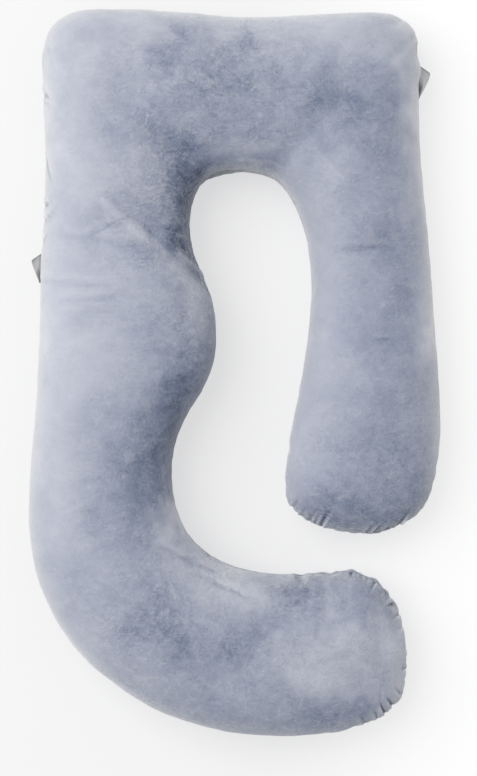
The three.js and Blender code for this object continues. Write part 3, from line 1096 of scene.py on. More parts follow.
# %% Fine creases
FINE_CREASES = [  # x and y of both ends, reach in pixels, change of nap across, depth
    (131, 215, 174, 257, 25, -0.20, 0.12),
    (92, 236, 130, 217, 9, -0.04, 0.35),
    (100, 252, 140, 246, 8, 0.04, 0.25),
    (196, 268, 176, 236, 8, 0.07, 0.45),
    (217, 63, 238, 79, 8, 0.09, 0.4),
    (236, 78, 262, 95, 8, 0.09, 0.35),
    (252, 47, 265, 50, 4, 0.04, 1.0),
    (240, 44, 243, 52, 4, 0.04, 0.8),
    (206, 55, 217, 62, 4, 0.05, 0.5),
    (246, 18, 247, 32, 6, 0.04, 0.5),
    (252, 49, 268, 48, 5, 0.03, 0.6),
    (152, 17, 186, 20, 7, 0.08, 0.3),
    (172, 30, 188, 42, 7, -0.07, 0.2),
    (296, 577, 310, 590, 8, 0.12, 0.8),
    (288, 582, 300, 578, 6, -0.06, 0.4),
    (268, 586, 292, 592, 9, 0.07, 0.3),
    (178, 556, 200, 558, 5, 0.10, 0.8),
    (199, 563, 216, 575, 5, 0.09, 0.8),
    (212, 581, 231, 592, 5, 0.12, 1.0),
    (229, 588, 247, 596, 5, 0.12, 1.0),
    (217, 560, 233, 566, 4, 0.08, 0.7),
    (238, 567, 264, 575, 4, 0.08, 0.6),
    (203, 546, 214, 556, 4, 0.08, 0.6),
    (306, 581, 322, 577, 5, -0.08, 0.7),
    (150, 612, 166, 640, 10, -0.09, 0.1),
    (178, 640, 196, 660, 9, 0.10, 0.2),
    (356, 248, 400, 246, 6, 0.03, 0.35),
    (378, 341, 396, 339, 5, 0.03, 0.35),
    (318, 150, 344, 176, 14, -0.06, 0.0),
    (205, 171, 216, 161, 8, -0.16, 0.2),
    (216, 161, 268, 159, 8, -0.16, 0.2),
    (268, 159, 284, 169, 8, -0.12, 0.15),
    (300, 504, 322, 494, 8, 0.04, 0.25),
    (366, 500, 392, 478, 9, 0.05, 0.2),
    (70, 470, 120, 476, 8, 0.02, 0.15),
    (118, 330, 176, 318, 12, 0.06, 0.1),
    (140, 350, 196, 362, 12, -0.06, 0.1),
]

# %% Crease values
CREASE_WANDER = 3.0  # pixels
WANDER_SIZE = 0.03
WANDER_SHIFT = Vector((3.0, 17.0, 11.0))
CREASE_ENDS = 1.6  # how sharply a crease ends past its two pixels
CREASE_TAPER = 1.25  # a crease is strongest in its middle
CREASE_LEAST = 0.25
CREASE_FACING = 4.0  # how soon a crease fades where the cloth turns down


def crease_values(points, across, down, face):
    """For each point: distance off its strongest crease in metres, change of nap, and depth."""
    wander = np.array([noise.noise(Vector(p) / WANDER_SIZE + WANDER_SHIFT) for p in points])
    off = np.zeros(len(points))
    change = np.zeros(len(points))
    depth = np.zeros(len(points))
    best = np.zeros(len(points))
    for x_start, y_start, x_end, y_end, reach, step, line_depth in FINE_CREASES:
        run = np.array([x_end - x_start, y_end - y_start], dtype=float)
        length = np.linalg.norm(run)
        run /= length
        t = ((across - x_start) * run[0] + (down - y_start) * run[1]) / length
        side = (across - x_start) * run[1] - (down - y_start) * run[0] + CREASE_WANDER * wander
        beyond = np.maximum(np.abs(t - 0.5) - 0.5, 0) * length / reach
        share = np.exp(-((side / reach) ** 2)) * np.exp(-((beyond * CREASE_ENDS) ** 2))
        share *= np.clip(CREASE_TAPER - np.abs(2 * t - 1) ** 3, CREASE_LEAST, 1) * face
        wins = share > best
        best[wins] = share[wins]
        off[wins] = side[wins] * PIXEL
        change[wins] = (step * share)[wins]
        depth[wins] = (line_depth * share)[wins]
    return off, change, depth


facing = np.clip(normals[:, 2] * CREASE_FACING, 0, 1)
off, change, depth = crease_values(points, across, down, facing)
add_point_values(cover, "crease_off", off)
add_point_values(cover, "crease_step", change)
add_point_values(cover, "crease_depth", depth)
print("fine creases:", len(FINE_CREASES))

# %% [markdown]
# ## Combed and crushed places
#
# Across the long arm the cover is pulled tight and its pile lies in fine strokes from side to
# side. Elsewhere it is crushed in all directions, most of all round the bends, where the cloth
# has been folded in its packing. Two more values say how combed and how crushed each point is.
# Both are listed as oval places with a soft edge.

# %% Combed and crushed places
COMBED = [  # x, y, half width, half height, share
    (100, 280, 90, 120, 0.9),
    (90, 420, 70, 70, 0.6),
    (170, 190, 40, 60, 1.0),
    (200, 300, 20, 50, 0.7),
    (330, 660, 90, 50, 0.5),
    (390, 250, 50, 110, 0.5),
    (120, 60, 60, 50, 0.3),
]
LEAST_COMBED = 0.15
CRUSHED = [  # x, y, half width, half height, how much more crushed than its nap says
    (192, 300, 24, 60, 1.1),
    (215, 572, 50, 24, 1.5),
    (310, 588, 40, 18, 1.2),
    (225, 70, 90, 56, 1.1),
    (150, 622, 54, 44, 0.8),
    (330, 650, 70, 50, 0.6),
    (162, 206, 46, 56, 1.4),
    (386, 590, 26, 22, 0.8),
    (360, 508, 60, 22, 0.2),
    (404, 250, 24, 160, -0.35),
    (350, 300, 50, 160, -0.35),
    (60, 330, 60, 240, -0.35),
    (150, 360, 40, 60, -0.3),
]


def oval_shares(places, across, down):
    """For each oval place: its strength at every point, less and less out from its middle."""
    for x, y, half_width, half_height, strength in places:
        reach = ((across - x) / half_width) ** 2 + ((down - y) / half_height) ** 2
        yield strength * np.exp(-reach)


combed = np.full(len(across), LEAST_COMBED)
for share in oval_shares(COMBED, across, down):
    combed = np.maximum(combed, share)
add_point_values(cover, "combed", combed)
more_crushed = sum(oval_shares(CRUSHED, across, down))
add_point_values(cover, "more_crushed", more_crushed)
print(f"combed: {combed.mean():.2f} on average, crushed: {more_crushed.mean():+.2f}")

# %% [markdown]
# ## Place in the frame
#
# The cover stands for the solid pillow, which stays in the physics model only. The solid is
# hidden, and the cover, well filled but not hard, joins the root body.

cover.data.attributes.remove(cover.data.attributes["on_seam"])
cover.vertex_groups.clear()
select_only(cover)
bpy.ops.object.shade_smooth()
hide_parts("pillow")
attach(cover, "root")

# %% [markdown]
# ## Folded tapes
#
# Two short pieces of woven tape are folded in half and caught in the outer seam. Each starts
# level at its upper end and droops against the pillow at its lower end. A flat grid is the
# tape as it was cut: u runs along the seam and v from one cut end over the fold to the other.
# Each of its points is moved to its place on the folded tape, and Solidify gives it body.

# %% Shape of a folded tape
TAPE_THICKNESS = 0.0009
TAPE_TUCK = 0.007  # how far the cut ends run in under the seam
TAPE_LIFT = 6.0  # degrees that the upper end stands up
TAPE_GAP = 0.0011  # half of the gap between the two layers
TAPE_NARROWS = 0.35  # share of its reach that a tape loses at its lower end
TAPE_BELLY = 1.6  # how much wider the gap is in the middle of the tape
TAPE_ROUND = 0.12  # share of a layer that the round of the fold takes
TAPE_RIPPLE = 0.0005
TAPE_RIPPLES = (9.0, 3.0)  # radians along and over the tape
BEND_OVER = (-0.002, 0.004)  # metres out from the seam over which a tape starts to bend
DROOP_POWER = 0.8
TAPE_STEPS_ALONG = 28
TAPE_STEPS_OVER = 36

# %% The two tapes
# The pocket value is painted shade under a tape; the last paints the right lighter, the left
# darker
TAPES = {  # places of both ends at the seam, reach, skew and cut in metres, droop in degrees
    "right": {
        "node": "tab_right",
        "upper": (0.367, 0.615, 0.0817),
        "lower": (0.366, 0.547, 0.0817),
        "reach": 0.0235,
        "skew": 0.017,
        "droop": 82.0,
        "cut": (0.068, 0.061),
        "pocket_painted_shade": 0.86,
        "painted_light": 1.3,
    },
    "left": {
        "node": "tab_left",
        "upper": (-0.388, 0.237, 0.0834),
        "lower": (-0.390, 0.179, 0.0851),
        "reach": 0.0185,
        "skew": 0.013,
        "droop": 84.0,
        "cut": (0.058, 0.051),
        "pocket_painted_shade": 0.66,
        "painted_light": 0.9,
    },
}


# %% Fold a tape
def smooth_share(values, start, end):
    """From 0 at start to 1 at end, with soft ends."""
    return soft_step(np.clip((values - start) / (end - start), 0, 1))


def folded_places(u, v, tape):
    """Where the points of a flat tape lie once it is folded and sewn in, and how far out."""
    upper_end = np.array(tape["upper"])
    lower_end = np.array(tape["lower"])
    side = np.sign(upper_end[0])
    root = upper_end + (lower_end - upper_end) * u[:, None]
    from_fold = np.abs(2 * v - 1)
    reach = tape["reach"] * (1 - TAPE_NARROWS * u**3)
    out = reach - (reach + TAPE_TUCK) * from_fold
    belly = 1 + TAPE_BELLY * np.sin(math.pi * u) * np.sin(math.pi * np.clip(from_fold, 0, 1))
    gap = TAPE_GAP * np.sqrt(np.clip(from_fold / TAPE_ROUND, 0, 1)) * belly
    up = np.sign(v - 0.5) * gap + TAPE_RIPPLE * np.sin(TAPE_RIPPLES[0] * u + TAPE_RIPPLES[1] * v)
    bend = np.radians(TAPE_LIFT - (TAPE_LIFT + tape["droop"]) * u**DROOP_POWER)
    turned = bend * smooth_share(out, *BEND_OVER)
    level = out * np.cos(turned) - up * np.sin(turned)
    raised = out * np.sin(turned) + up * np.cos(turned)
    lower = tape["skew"] * (1 - u) * np.maximum(out / tape["reach"], 0)
    places = root + np.stack([side * level, -lower, raised], axis=1)
    return places, out / tape["reach"]


# %% Edges, painted shade and painted light of a tape
# The fold's darkening is painted shade, and the tape's two edges are darker
DARK_EDGES_AND_FOLD_SHADE = {"upper": 0.35, "lower": 0.25, "fold": 0.22}
WOVEN_EDGE = 0.05  # share of the tape's width
FOLD_EDGE = 0.1  # share of its reach
POCKET_ALONG = (0.30, 0.72)  # shares of the width between which the shaded pocket begins
POCKET_OUT = (-0.62, -0.30)  # minus shares of the reach between which it ends
# Painted shade where the tape runs in under the seam
UNDER_SEAM = (-0.22, -0.08)
UNDER_SEAM_PAINTED_SHADE = 0.5


def tape_tones(u, share_out, tape):
    """Darker tape edges, painted shade in its fold and pocket, and painted light, as a factor.
    """
    tones = 1 - DARK_EDGES_AND_FOLD_SHADE["upper"] * np.exp(-((u / WOVEN_EDGE) ** 2))
    tones -= DARK_EDGES_AND_FOLD_SHADE["lower"] * np.exp(-(((1 - u) / WOVEN_EDGE) ** 2))
    tones *= 1 - DARK_EDGES_AND_FOLD_SHADE["fold"] * np.exp(-(((share_out - 1) / FOLD_EDGE) ** 2))
    # Painted shade in the pocket between tape and pillow, and under the seam
    inside = smooth_share(u, *POCKET_ALONG) * smooth_share(-share_out, *POCKET_OUT)
    under_seam = UNDER_SEAM_PAINTED_SHADE * smooth_share(-share_out, *UNDER_SEAM)
    tones *= 1 - tape["pocket_painted_shade"] * np.maximum(inside, under_seam)
    return tones * tape["painted_light"]


# %% Make the tapes
def make_tape(name, tape):
    """One folded tape, from a flat grid."""
    bpy.ops.object.select_all(action="DESELECT")
    bpy.ops.mesh.primitive_grid_add(
        x_subdivisions=TAPE_STEPS_ALONG,
        y_subdivisions=TAPE_STEPS_OVER,
        size=1.0,
    )
    obj = bpy.context.object
    obj.name = name
    flat = vectors_of(obj.data, "co")
    u = flat[:, 0] + 0.5
    v = flat[:, 1] + 0.5
    places, share_out = folded_places(u, v, tape)
    set_points(obj, places)
    add_point_values(obj, "tape_edges_and_painted_light", tape_tones(u, share_out, tape))
    width, length = tape["cut"]
    add_point_values(obj, "tape_u", u * width)
    add_point_values(obj, "tape_v", v * length)
    solidify = obj.modifiers.new("Solidify", "SOLIDIFY")
    solidify.thickness = TAPE_THICKNESS
    solidify.offset = 0.0
    select_only(obj)
    bpy.ops.object.modifier_apply(modifier=solidify.name)
    subdivide_smoothly(obj, 1)
    bpy.ops.object.mode_set(mode="EDIT")
    bpy.ops.mesh.select_all(action="SELECT")
    bpy.ops.mesh.normals_make_consistent(inside=False)
    bpy.ops.object.mode_set(mode="OBJECT")
    bpy.ops.object.shade_smooth()
    return obj


tapes = []
for side_name, tape in TAPES.items():
    piece = make_tape(f"folded_tape_{side_name}", tape)
    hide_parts(tape["node"])
    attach(piece, "root")
    tapes.append(piece)
    print(piece.name, len(piece.data.vertices), "points")

# %% [markdown]
# ## Helpers for materials
#
# A material is a graph of nodes. What two materials share is a node group with named inputs
# and outputs, built once. These helpers keep the graphs short to write.

# %% Node helpers
VECTOR = "NodeSocketVector"
FLOAT = "NodeSocketFloat"
NOISE_SWING = 3.0  # a noise texture keeps near 0.5, so it is stretched by this about 0


def new_group(name, inputs, outputs):
    """A shader node group. Inputs and outputs map names to socket types."""
    group = bpy.data.node_groups.new(name, "ShaderNodeTree")
    for label, (kind, value) in inputs.items():
        socket = group.interface.new_socket(label, in_out="INPUT", socket_type=kind)
        if value is not None:
            socket.default_value = value
    for label, kind in outputs.items():
        group.interface.new_socket(label, in_out="OUTPUT", socket_type=kind)
    entry = group.nodes.new("NodeGroupInput")
    leave = group.nodes.new("NodeGroupOutput")
    return group, entry.outputs, leave.inputs


def place_node(tree, kind, values=None, **settings):
    """Add a node. Values set its sockets, or link them where a value is another socket."""
    node = tree.nodes.new(kind)
    for label, value in settings.items():
        setattr(node, label, value)
    for label, value in (values or {}).items():
        if isinstance(value, bpy.types.NodeSocket):
            tree.links.new(value, node.inputs[label])
        else:
            node.inputs[label].default_value = value
    return node


def calculate(tree, operation, *values):
    """A math node, and its result."""
    node = place_node(tree, "ShaderNodeMath", dict(enumerate(values)), operation=operation)
    return node.outputs[0]


# %% Helpers for masks and colours
def soft_range(tree, value, low, high, at_low, at_high):
    """A soft step from one result to another, as a value goes from low to high."""
    node = place_node(tree, "ShaderNodeMapRange", {
        "Value": value,
        "From Min": low,
        "From Max": high,
        "To Min": at_low,
        "To Max": at_high,
    }, interpolation_type="SMOOTHSTEP")
    return node.outputs["Result"]


def noise_value(tree, vector, scale, detail, roughness, distortion=0.0):
    """A noise texture that swings about 0, from about -1 to 1."""
    node = place_node(tree, "ShaderNodeTexNoise", {
        "Vector": vector,
        "Scale": scale,
        "Detail": detail,
        "Roughness": roughness,
        "Distortion": distortion,
    })
    return calculate(tree, "MULTIPLY_ADD", node.outputs["Fac"], NOISE_SWING, -NOISE_SWING / 2)


def colour_ramp(tree, value, stops):
    """A colour ramp over a value, from stops of a position and a linear colour."""
    ramp = place_node(tree, "ShaderNodeValToRGB", {"Fac": value})
    elements = ramp.color_ramp.elements
    for number, (position, colour) in enumerate(stops):
        stop = elements[number] if number < 2 else elements.new(position)
        stop.position = position
        stop.color = (*colour, 1.0)
    return ramp.outputs["Color"]


def darken(tree, colour, tone):
    """A colour times a tone."""
    node = place_node(tree, "ShaderNodeMix", data_type="RGBA", blend_type="MULTIPLY")
    node.inputs[0].default_value = 1.0
    tree.links.new(colour, node.inputs[6])
    tree.links.new(tone, node.inputs[7])
    return node.outputs[2]


def read_values(tree, labels):
    """The values that a piece's points carry, by name."""
    values = {}
    for label in labels:
        reader = place_node(tree, "ShaderNodeAttribute", attribute_name=label, label=label)
        values[label] = reader.outputs["Fac"]
    return values


# %% [markdown]
# ## Crushed pile
#
# Short pile never lies quite even. Over a hand's breadth it makes clouds, over a thumb's
# breadth crushed patches and spots with crisp edges, and between them run thin wrinkles, pale
# on one side and dark on the other. Close up there are flecks, combed strokes and hairs. The
# group adds these up to one value that says how much paler or darker the nap is, and one
# height for the bump. Its strength and the share of strokes differ from place to place.

# %% Parts of the crushed pile
PILE_LIES = {  # turn in degrees and stretch across the pile
    "even": (0.0, 1.0),
    "pulled": (20.0, 0.85),
    "combed": (-7.0, 0.14),
}
PILE_NOISES = {  # how it lies, waves a metre, detail, roughness, distortion
    "clouds": ("pulled", 12.0, 5.0, 0.58, 0.5),
    "spots": ("pulled", 42.0, 6.0, 0.70, 1.2),
    "islands": ("even", 70.0, 3.0, 0.6, 2.0),
    "drifts": ("pulled", 26.0, 5.0, 0.62, 1.0),
    "crumples": ("pulled", 38.0, 2.5, 0.55, 1.6),
    "packed": ("even", 17.0, 3.0, 0.6, 0.0),
    "flecks": ("pulled", 210.0, 3.0, 0.72, 0.6),
    "strokes": ("combed", 120.0, 4.0, 0.62, 0.35),
    "fuzz": ("even", 1300.0, 2.0, 0.6, 0.0),
}
PILE_STEPS = {  # the noise it is made from, where its step starts and ends, least and most
    "crisp": ("islands", 0.12, 0.42, -0.22, 0.55),
    "patches": ("drifts", -0.16, 0.14, -0.45, 0.45),
    "where_packed": ("packed", -0.1, 0.35, 0.1, 1.5),
}
PILE_WEIGHTS = {  # beside the spots, which count in full
    "crisp": 0.8,
    "flecks": 0.7,
    "patches": 0.45,
    "wrinkles": 0.6,
    "strokes": 1.0,
    "fuzz": 0.2,
}
WRINKLE_SLOPE = 8.0  # how narrow a wrinkle is beside the crumples that it comes from
CLOUD_SHADE = 0.09
FINE_SHADE = 0.062
FUZZ_HEIGHT = 0.1

# %% Group: crushed pile
crushed_pile, given, result = new_group(
    "crushed_pile",
    {"Vector": (VECTOR, None), "Crushed": (FLOAT, 1.0), "Combed": (FLOAT, 0.2)},
    {"Shade": FLOAT, "Height": FLOAT},
)
lies = {}
for label, (turn, stretch) in PILE_LIES.items():
    lies[label] = place_node(crushed_pile, "ShaderNodeMapping", {
        "Vector": given["Vector"],
        "Rotation": (0.0, 0.0, math.radians(turn)),
        "Scale": (stretch, 1.0, 1.0),
    }).outputs[0]
parts = {}
for label, (lie, *sizes) in PILE_NOISES.items():
    parts[label] = noise_value(crushed_pile, lies[lie], *sizes)
for label, (source, *sizes) in PILE_STEPS.items():
    parts[label] = soft_range(crushed_pile, parts[source], *sizes)
parts["strokes"] = calculate(crushed_pile, "MULTIPLY", parts["strokes"], given["Combed"])

# %% Wrinkles of the crushed pile
line = calculate(crushed_pile, "MULTIPLY", parts["crumples"], WRINKLE_SLOPE)
steep = calculate(crushed_pile, "POWER", calculate(crushed_pile, "ABSOLUTE", line), 4.0)
wrinkles = calculate(crushed_pile, "DIVIDE", line, calculate(crushed_pile, "ADD", steep, 1.0))
parts["wrinkles"] = calculate(crushed_pile, "MULTIPLY", wrinkles, parts["where_packed"])

# %% Add up the crushed pile
fine = parts["spots"]
for label, weight in PILE_WEIGHTS.items():
    fine = calculate(crushed_pile, "MULTIPLY_ADD", parts[label], weight, fine)
fine = calculate(crushed_pile, "MULTIPLY", fine, given["Crushed"])
shade = calculate(crushed_pile, "MULTIPLY", parts["clouds"], CLOUD_SHADE)
shade = calculate(crushed_pile, "MULTIPLY_ADD", fine, FINE_SHADE, shade)
height = calculate(crushed_pile, "MULTIPLY_ADD", parts["fuzz"], FUZZ_HEIGHT, fine)
crushed_pile.links.new(shade, result["Shade"])
crushed_pile.links.new(height, result["Height"])
print("crushed pile:", len(crushed_pile.nodes), "nodes")

# %% [markdown]
# ## A fine crease
#
# The cover's points say how far off a crease they lie. This group turns that into a thin
# valley of painted shade, a step in the nap from one side to the other, and the valley's height.

# %% Group: fine crease
CREASE_WOBBLE = 0.0009  # metres that the pile pushes a crease from its line
STEP_REACH = 0.003  # metres on each side over which the nap changes
VALLEY_HALF = 0.0028
# Painted shade in a fine crease's valley
CREASE_VALLEY_PAINTED_SHADE = -0.12

fine_crease, given, result = new_group(
    "fine_crease",
    {"Off": (FLOAT, 0.0), "Step": (FLOAT, 0.0), "Depth": (FLOAT, 0.0), "Wobble": (FLOAT, 0.0)},
    {"Shade": FLOAT, "Height": FLOAT},
)
wobbled = calculate(fine_crease, "MULTIPLY_ADD", given["Wobble"], CREASE_WOBBLE, given["Off"])
side = soft_range(fine_crease, wobbled, -STEP_REACH, STEP_REACH, -0.5, 0.5)
narrow = calculate(fine_crease, "DIVIDE", wobbled, VALLEY_HALF)
narrow = calculate(fine_crease, "MULTIPLY", narrow, narrow)
steep = calculate(fine_crease, "MULTIPLY_ADD", narrow, narrow, 1.0)
valley = calculate(fine_crease, "DIVIDE", 1.0, steep)
valley = calculate(fine_crease, "MULTIPLY", valley, given["Depth"])
shade = calculate(fine_crease, "MULTIPLY", side, given["Step"])
shade = calculate(fine_crease, "MULTIPLY_ADD", valley, CREASE_VALLEY_PAINTED_SHADE, shade)
height = calculate(fine_crease, "MULTIPLY", valley, -1.0)
fine_crease.links.new(shade, result["Shade"])
fine_crease.links.new(height, result["Height"])
print("fine crease:", len(fine_crease.nodes), "nodes")

# %% [markdown]
# ## Velvet
#
# The nap value and the crushed pile together pick the colour: dark blue-grey where the pile
# shows its depth, pale grey where it shows its tips. The nap value also carries painted light
# and shade. The dark places are the most crushed. Near the seam a pale band of painted sheen is
# mixed in, and the seam's groove, the valleys of folds, the grooves above lips and the inner
# curves get painted shade. Sheen adds the soft shine that velvet has at its outline.

# %% Velvet colours
NAP_COLOURS = [  # nap value and linear colour
    (0.0, (0.070, 0.093, 0.155)),
    (0.25, (0.176, 0.210, 0.300)),
    (0.5, (0.315, 0.342, 0.425)),
    (0.75, (0.470, 0.488, 0.556)),
    (1.0, (0.640, 0.648, 0.690)),
]
# Colours of the painted sheen beside the seam
PAINTED_SHEEN_COLOURS = [
    (0.0, (0.30, 0.315, 0.345)),
    (0.5, (0.51, 0.52, 0.54)),
    (1.0, (0.76, 0.765, 0.77)),
]
VELVET_VALUES = (
    "nap_and_painted_light",
    "seam_gap",
    "painted_sheen",
    "painted_shading",
    "crease_off",
    "crease_step",
    "crease_depth",
    "combed",
    "more_crushed",
)
CRUSHED_NAP = (0.3, 0.65)  # from the darker nap to the paler one
CRUSHED_BY = (2.9, 0.8)  # how crushed the pile is there
GROOVE = (0.0008, 0.003)  # metres from the seam over which its dark groove ends
# Painted shade in the seam's groove
GROOVE_PAINTED_SHADE = 0.45
ROUGHEST = 0.95
SMOOTHER = -0.25  # change of roughness from the darkest nap to the palest
CREASE_BUMP = {"Strength": 0.7, "Distance": 0.0016}
PILE_BUMP = {"Strength": 0.55, "Distance": 0.0009}

# %% Lie of the velvet's pile
velvet = bpy.data.materials.new("crushed_velvet")
velvet.use_nodes = True
tree = velvet.node_tree
shader = tree.nodes["Principled BSDF"]
place = place_node(tree, "ShaderNodeTexCoord").outputs["Object"]
value_of = read_values(tree, VELVET_VALUES)
crushed = place_node(tree, "ShaderNodeMapRange", {
    "Value": value_of["nap_and_painted_light"],
    "From Min": CRUSHED_NAP[0],
    "From Max": CRUSHED_NAP[1],
    "To Min": CRUSHED_BY[0],
    "To Max": CRUSHED_BY[1],
}).outputs["Result"]
crushed = calculate(tree, "ADD", crushed, value_of["more_crushed"])
pile = place_node(tree, "ShaderNodeGroup", node_tree=crushed_pile)
tree.links.new(place, pile.inputs["Vector"])
tree.links.new(crushed, pile.inputs["Crushed"])
tree.links.new(value_of["combed"], pile.inputs["Combed"])
crease = place_node(tree, "ShaderNodeGroup", node_tree=fine_crease)
tree.links.new(value_of["crease_off"], crease.inputs["Off"])
tree.links.new(value_of["crease_step"], crease.inputs["Step"])
tree.links.new(value_of["crease_depth"], crease.inputs["Depth"])
tree.links.new(pile.outputs["Height"], crease.inputs["Wobble"])
lie = calculate(tree, "ADD", value_of["nap_and_painted_light"], pile.outputs["Shade"])
lie = calculate(tree, "ADD", lie, crease.outputs["Shade"])

# %% Colour of the velvet
pile_colour = colour_ramp(tree, lie, NAP_COLOURS)
# The pale band of painted sheen beside the seam is mixed in here
painted_sheen_colour = colour_ramp(tree, lie, PAINTED_SHEEN_COLOURS)
sheen_mix = place_node(tree, "ShaderNodeMix", data_type="RGBA")
tree.links.new(value_of["painted_sheen"], sheen_mix.inputs[0])
tree.links.new(pile_colour, sheen_mix.inputs[6])
tree.links.new(painted_sheen_colour, sheen_mix.inputs[7])
in_groove = soft_range(tree, value_of["seam_gap"], *GROOVE, GROOVE_PAINTED_SHADE, 1.0)
# Painted shade of the groove, times the painted shade and highlight of folds, lips and curves
tone = calculate(tree, "MULTIPLY", in_groove, value_of["painted_shading"])
tree.links.new(darken(tree, sheen_mix.outputs[2], tone), shader.inputs["Base Color"])

# %% Finish of the velvet
roughness = calculate(tree, "MULTIPLY_ADD", lie, SMOOTHER, ROUGHEST)
tree.links.new(roughness, shader.inputs["Roughness"])
crease_bump = place_node(tree, "ShaderNodeBump", {
    "Height": crease.outputs["Height"],
    **CREASE_BUMP,
})
bump = place_node(tree, "ShaderNodeBump", {
    "Height": pile.outputs["Height"],
    **PILE_BUMP,
    "Normal": crease_bump.outputs["Normal"],
})
tree.links.new(bump.outputs["Normal"], shader.inputs["Normal"])
shader.inputs["Specular IOR Level"].default_value = 0.15
shader.inputs["Sheen Weight"].default_value = 0.9
shader.inputs["Sheen Roughness"].default_value = 0.35
shader.inputs["Sheen Tint"].default_value = (0.97, 0.98, 1.0, 1.0)
cover.data.materials.append(velvet)
print("velvet:", len(tree.nodes), "nodes")

# %% [markdown]
# ## Woven tape
#
# The two tabs in the outer seam are folded from thin woven tape. Warp and weft are two waves
# across each other, and the tape is a little paler where its threads stand up.

# %% Group: tape weave
WAVE_FACTOR = 0.32  # the wave texture's scale times the width of one of its waves

tape_weave, given, result = new_group(
    "tape_weave",
    {"Vector": (VECTOR, None), "Thread": (FLOAT, 0.0008)},
    {"Shade": FLOAT, "Height": FLOAT},
)
threads = calculate(tape_weave, "DIVIDE", WAVE_FACTOR, given["Thread"])
waves = []
for direction in ("X", "Y"):
    wave = place_node(tape_weave, "ShaderNodeTexWave", {
        "Vector": given["Vector"],
        "Scale": threads,
        "Distortion": 0.4,
        "Detail": 1.0,
    }, bands_direction=direction)
    waves.append(wave.outputs["Fac"])
weave = calculate(tape_weave, "MULTIPLY", *waves)
wear = noise_value(tape_weave, given["Vector"], 120.0, 3.0, 0.6)
tape_weave.links.new(calculate(tape_weave, "MULTIPLY_ADD", wear, 0.25, weave), result["Shade"])
tape_weave.links.new(weave, result["Height"])
print("tape weave:", len(tape_weave.nodes), "nodes")

# %% Tape material
TAPE_COLOURS = [
    (0.0, (0.40, 0.405, 0.42)),
    (1.0, (0.62, 0.62, 0.63)),
]

woven_tape = bpy.data.materials.new("woven_tape")
woven_tape.use_nodes = True
tree = woven_tape.node_tree
shader = tree.nodes["Principled BSDF"]
on_tape = read_values(tree, ("tape_u", "tape_v", "tape_edges_and_painted_light"))
place = place_node(tree, "ShaderNodeCombineXYZ", {
    "X": on_tape["tape_u"],
    "Y": on_tape["tape_v"],
}).outputs["Vector"]
cloth_weave = place_node(tree, "ShaderNodeGroup", node_tree=tape_weave)
tree.links.new(place, cloth_weave.inputs["Vector"])
thread_colour = colour_ramp(tree, cloth_weave.outputs["Shade"], TAPE_COLOURS)
# Darker edges of the tape, with its painted shade and painted light
tape_colour = darken(tree, thread_colour, on_tape["tape_edges_and_painted_light"])
tree.links.new(tape_colour, shader.inputs["Base Color"])
bump = place_node(tree, "ShaderNodeBump", {
    "Height": cloth_weave.outputs["Height"],
    "Strength": 0.6,
    "Distance": 0.0003,
})
tree.links.new(bump.outputs["Normal"], shader.inputs["Normal"])
shader.inputs["Roughness"].default_value = 0.7
shader.inputs["Specular IOR Level"].default_value = 0.3
shader.inputs["Sheen Weight"].default_value = 0.2
for piece in tapes:
    piece.data.materials.append(woven_tape)
print("woven tape:", len(tree.nodes), "nodes")

# %% [markdown]
# ## Studio
#
# The photograph was taken on white paper under wide soft light from the upper left, with so
# much light from all round that the shadows stay pale. One very large light gives the side,
# and an even white world gives the rest. The paper glows a little, as on a light table, which
# keeps the shadows pale and lifts the sides of the pillow. It glows a little less on the left,
# where the light falls on it most, so that it looks equally white all over.

# %% Floor
FLOOR_SIZE = 14.0
PAPER_COLOUR = (0.3, 0.3, 0.3, 1.0)
PAPER_GLOW = 0.67
GLOW_STOPS = [(0.0, (0.86, 0.86, 0.86)), (1.0, (1.0, 1.0, 1.0))]
FULL_GLOW_FROM = 0.48  # metres to the right of the middle

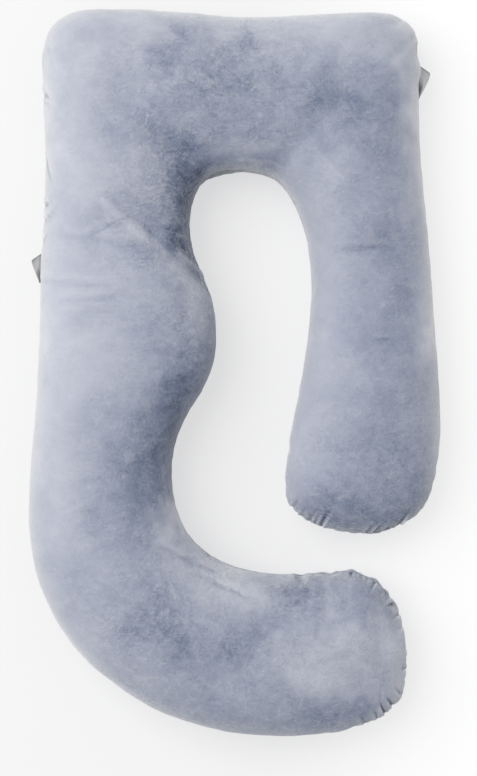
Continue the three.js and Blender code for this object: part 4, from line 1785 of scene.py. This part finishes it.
bpy.ops.object.select_all(action="DESELECT")
bpy.ops.mesh.primitive_plane_add(size=FLOOR_SIZE)
floor = bpy.context.object
floor.name = "floor"
floor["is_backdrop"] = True
paper = bpy.data.materials.new("white_paper")
paper.use_nodes = True
tree = paper.node_tree
shader = tree.nodes["Principled BSDF"]
shader.inputs["Base Color"].default_value = PAPER_COLOUR
shader.inputs["Roughness"].default_value = 0.9
place = place_node(tree, "ShaderNodeTexCoord").outputs["Object"]
across_paper = place_node(tree, "ShaderNodeSeparateXYZ", {"Vector": place}).outputs["X"]
share_right = soft_range(tree, across_paper, 0.0, FULL_GLOW_FROM, 0.0, 1.0)
glow = colour_ramp(tree, share_right, GLOW_STOPS)
tree.links.new(glow, shader.inputs["Emission Color"])
shader.inputs["Emission Strength"].default_value = PAPER_GLOW
shader.inputs["Specular IOR Level"].default_value = 0.1
floor.data.materials.append(paper)
print(f"floor: {FLOOR_SIZE:.0f} m wide")

# %% Light
WORLD_STRENGTH = 0.68
WHITE = (1.0, 1.0, 1.0, 1.0)

world = bpy.data.worlds.new("studio")
world.use_nodes = True
background = world.node_tree.nodes["Background"]
background.inputs["Color"].default_value = WHITE
background.inputs["Strength"].default_value = WORLD_STRENGTH
bpy.context.scene.world = world
bpy.context.scene.view_settings.view_transform = "Standard"


# %% Large softbox
LIGHT_PLACE = Vector((-3.2, 1.8, 5.4))
LIGHT_SIZE = 5.5
LIGHT_POWER = 300.0  # watts

bpy.ops.object.select_all(action="DESELECT")
bpy.ops.object.light_add(type="AREA", location=LIGHT_PLACE)
light = bpy.context.object
light.name = "large_softbox"
light.data.size = LIGHT_SIZE
light.data.energy = LIGHT_POWER
light.rotation_euler = (-LIGHT_PLACE).to_track_quat("-Z", "Y").to_euler()
print(f"light: {LIGHT_SIZE} m wide, {LIGHT_PLACE.length:.1f} m from the pillow")

# %% [markdown]
# ## Size
#
# The cover stands a little proud of the solid in places. The box of the solids and the box of
# what shows are both printed, so that they can be compared.

# %% Sizes and the end
visual_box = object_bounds()
sizes = {
    "cad": [list(corner) for corner in cad_box],
    "visual": [list(corner) for corner in visual_box],
}
print("sizes:", sizes)
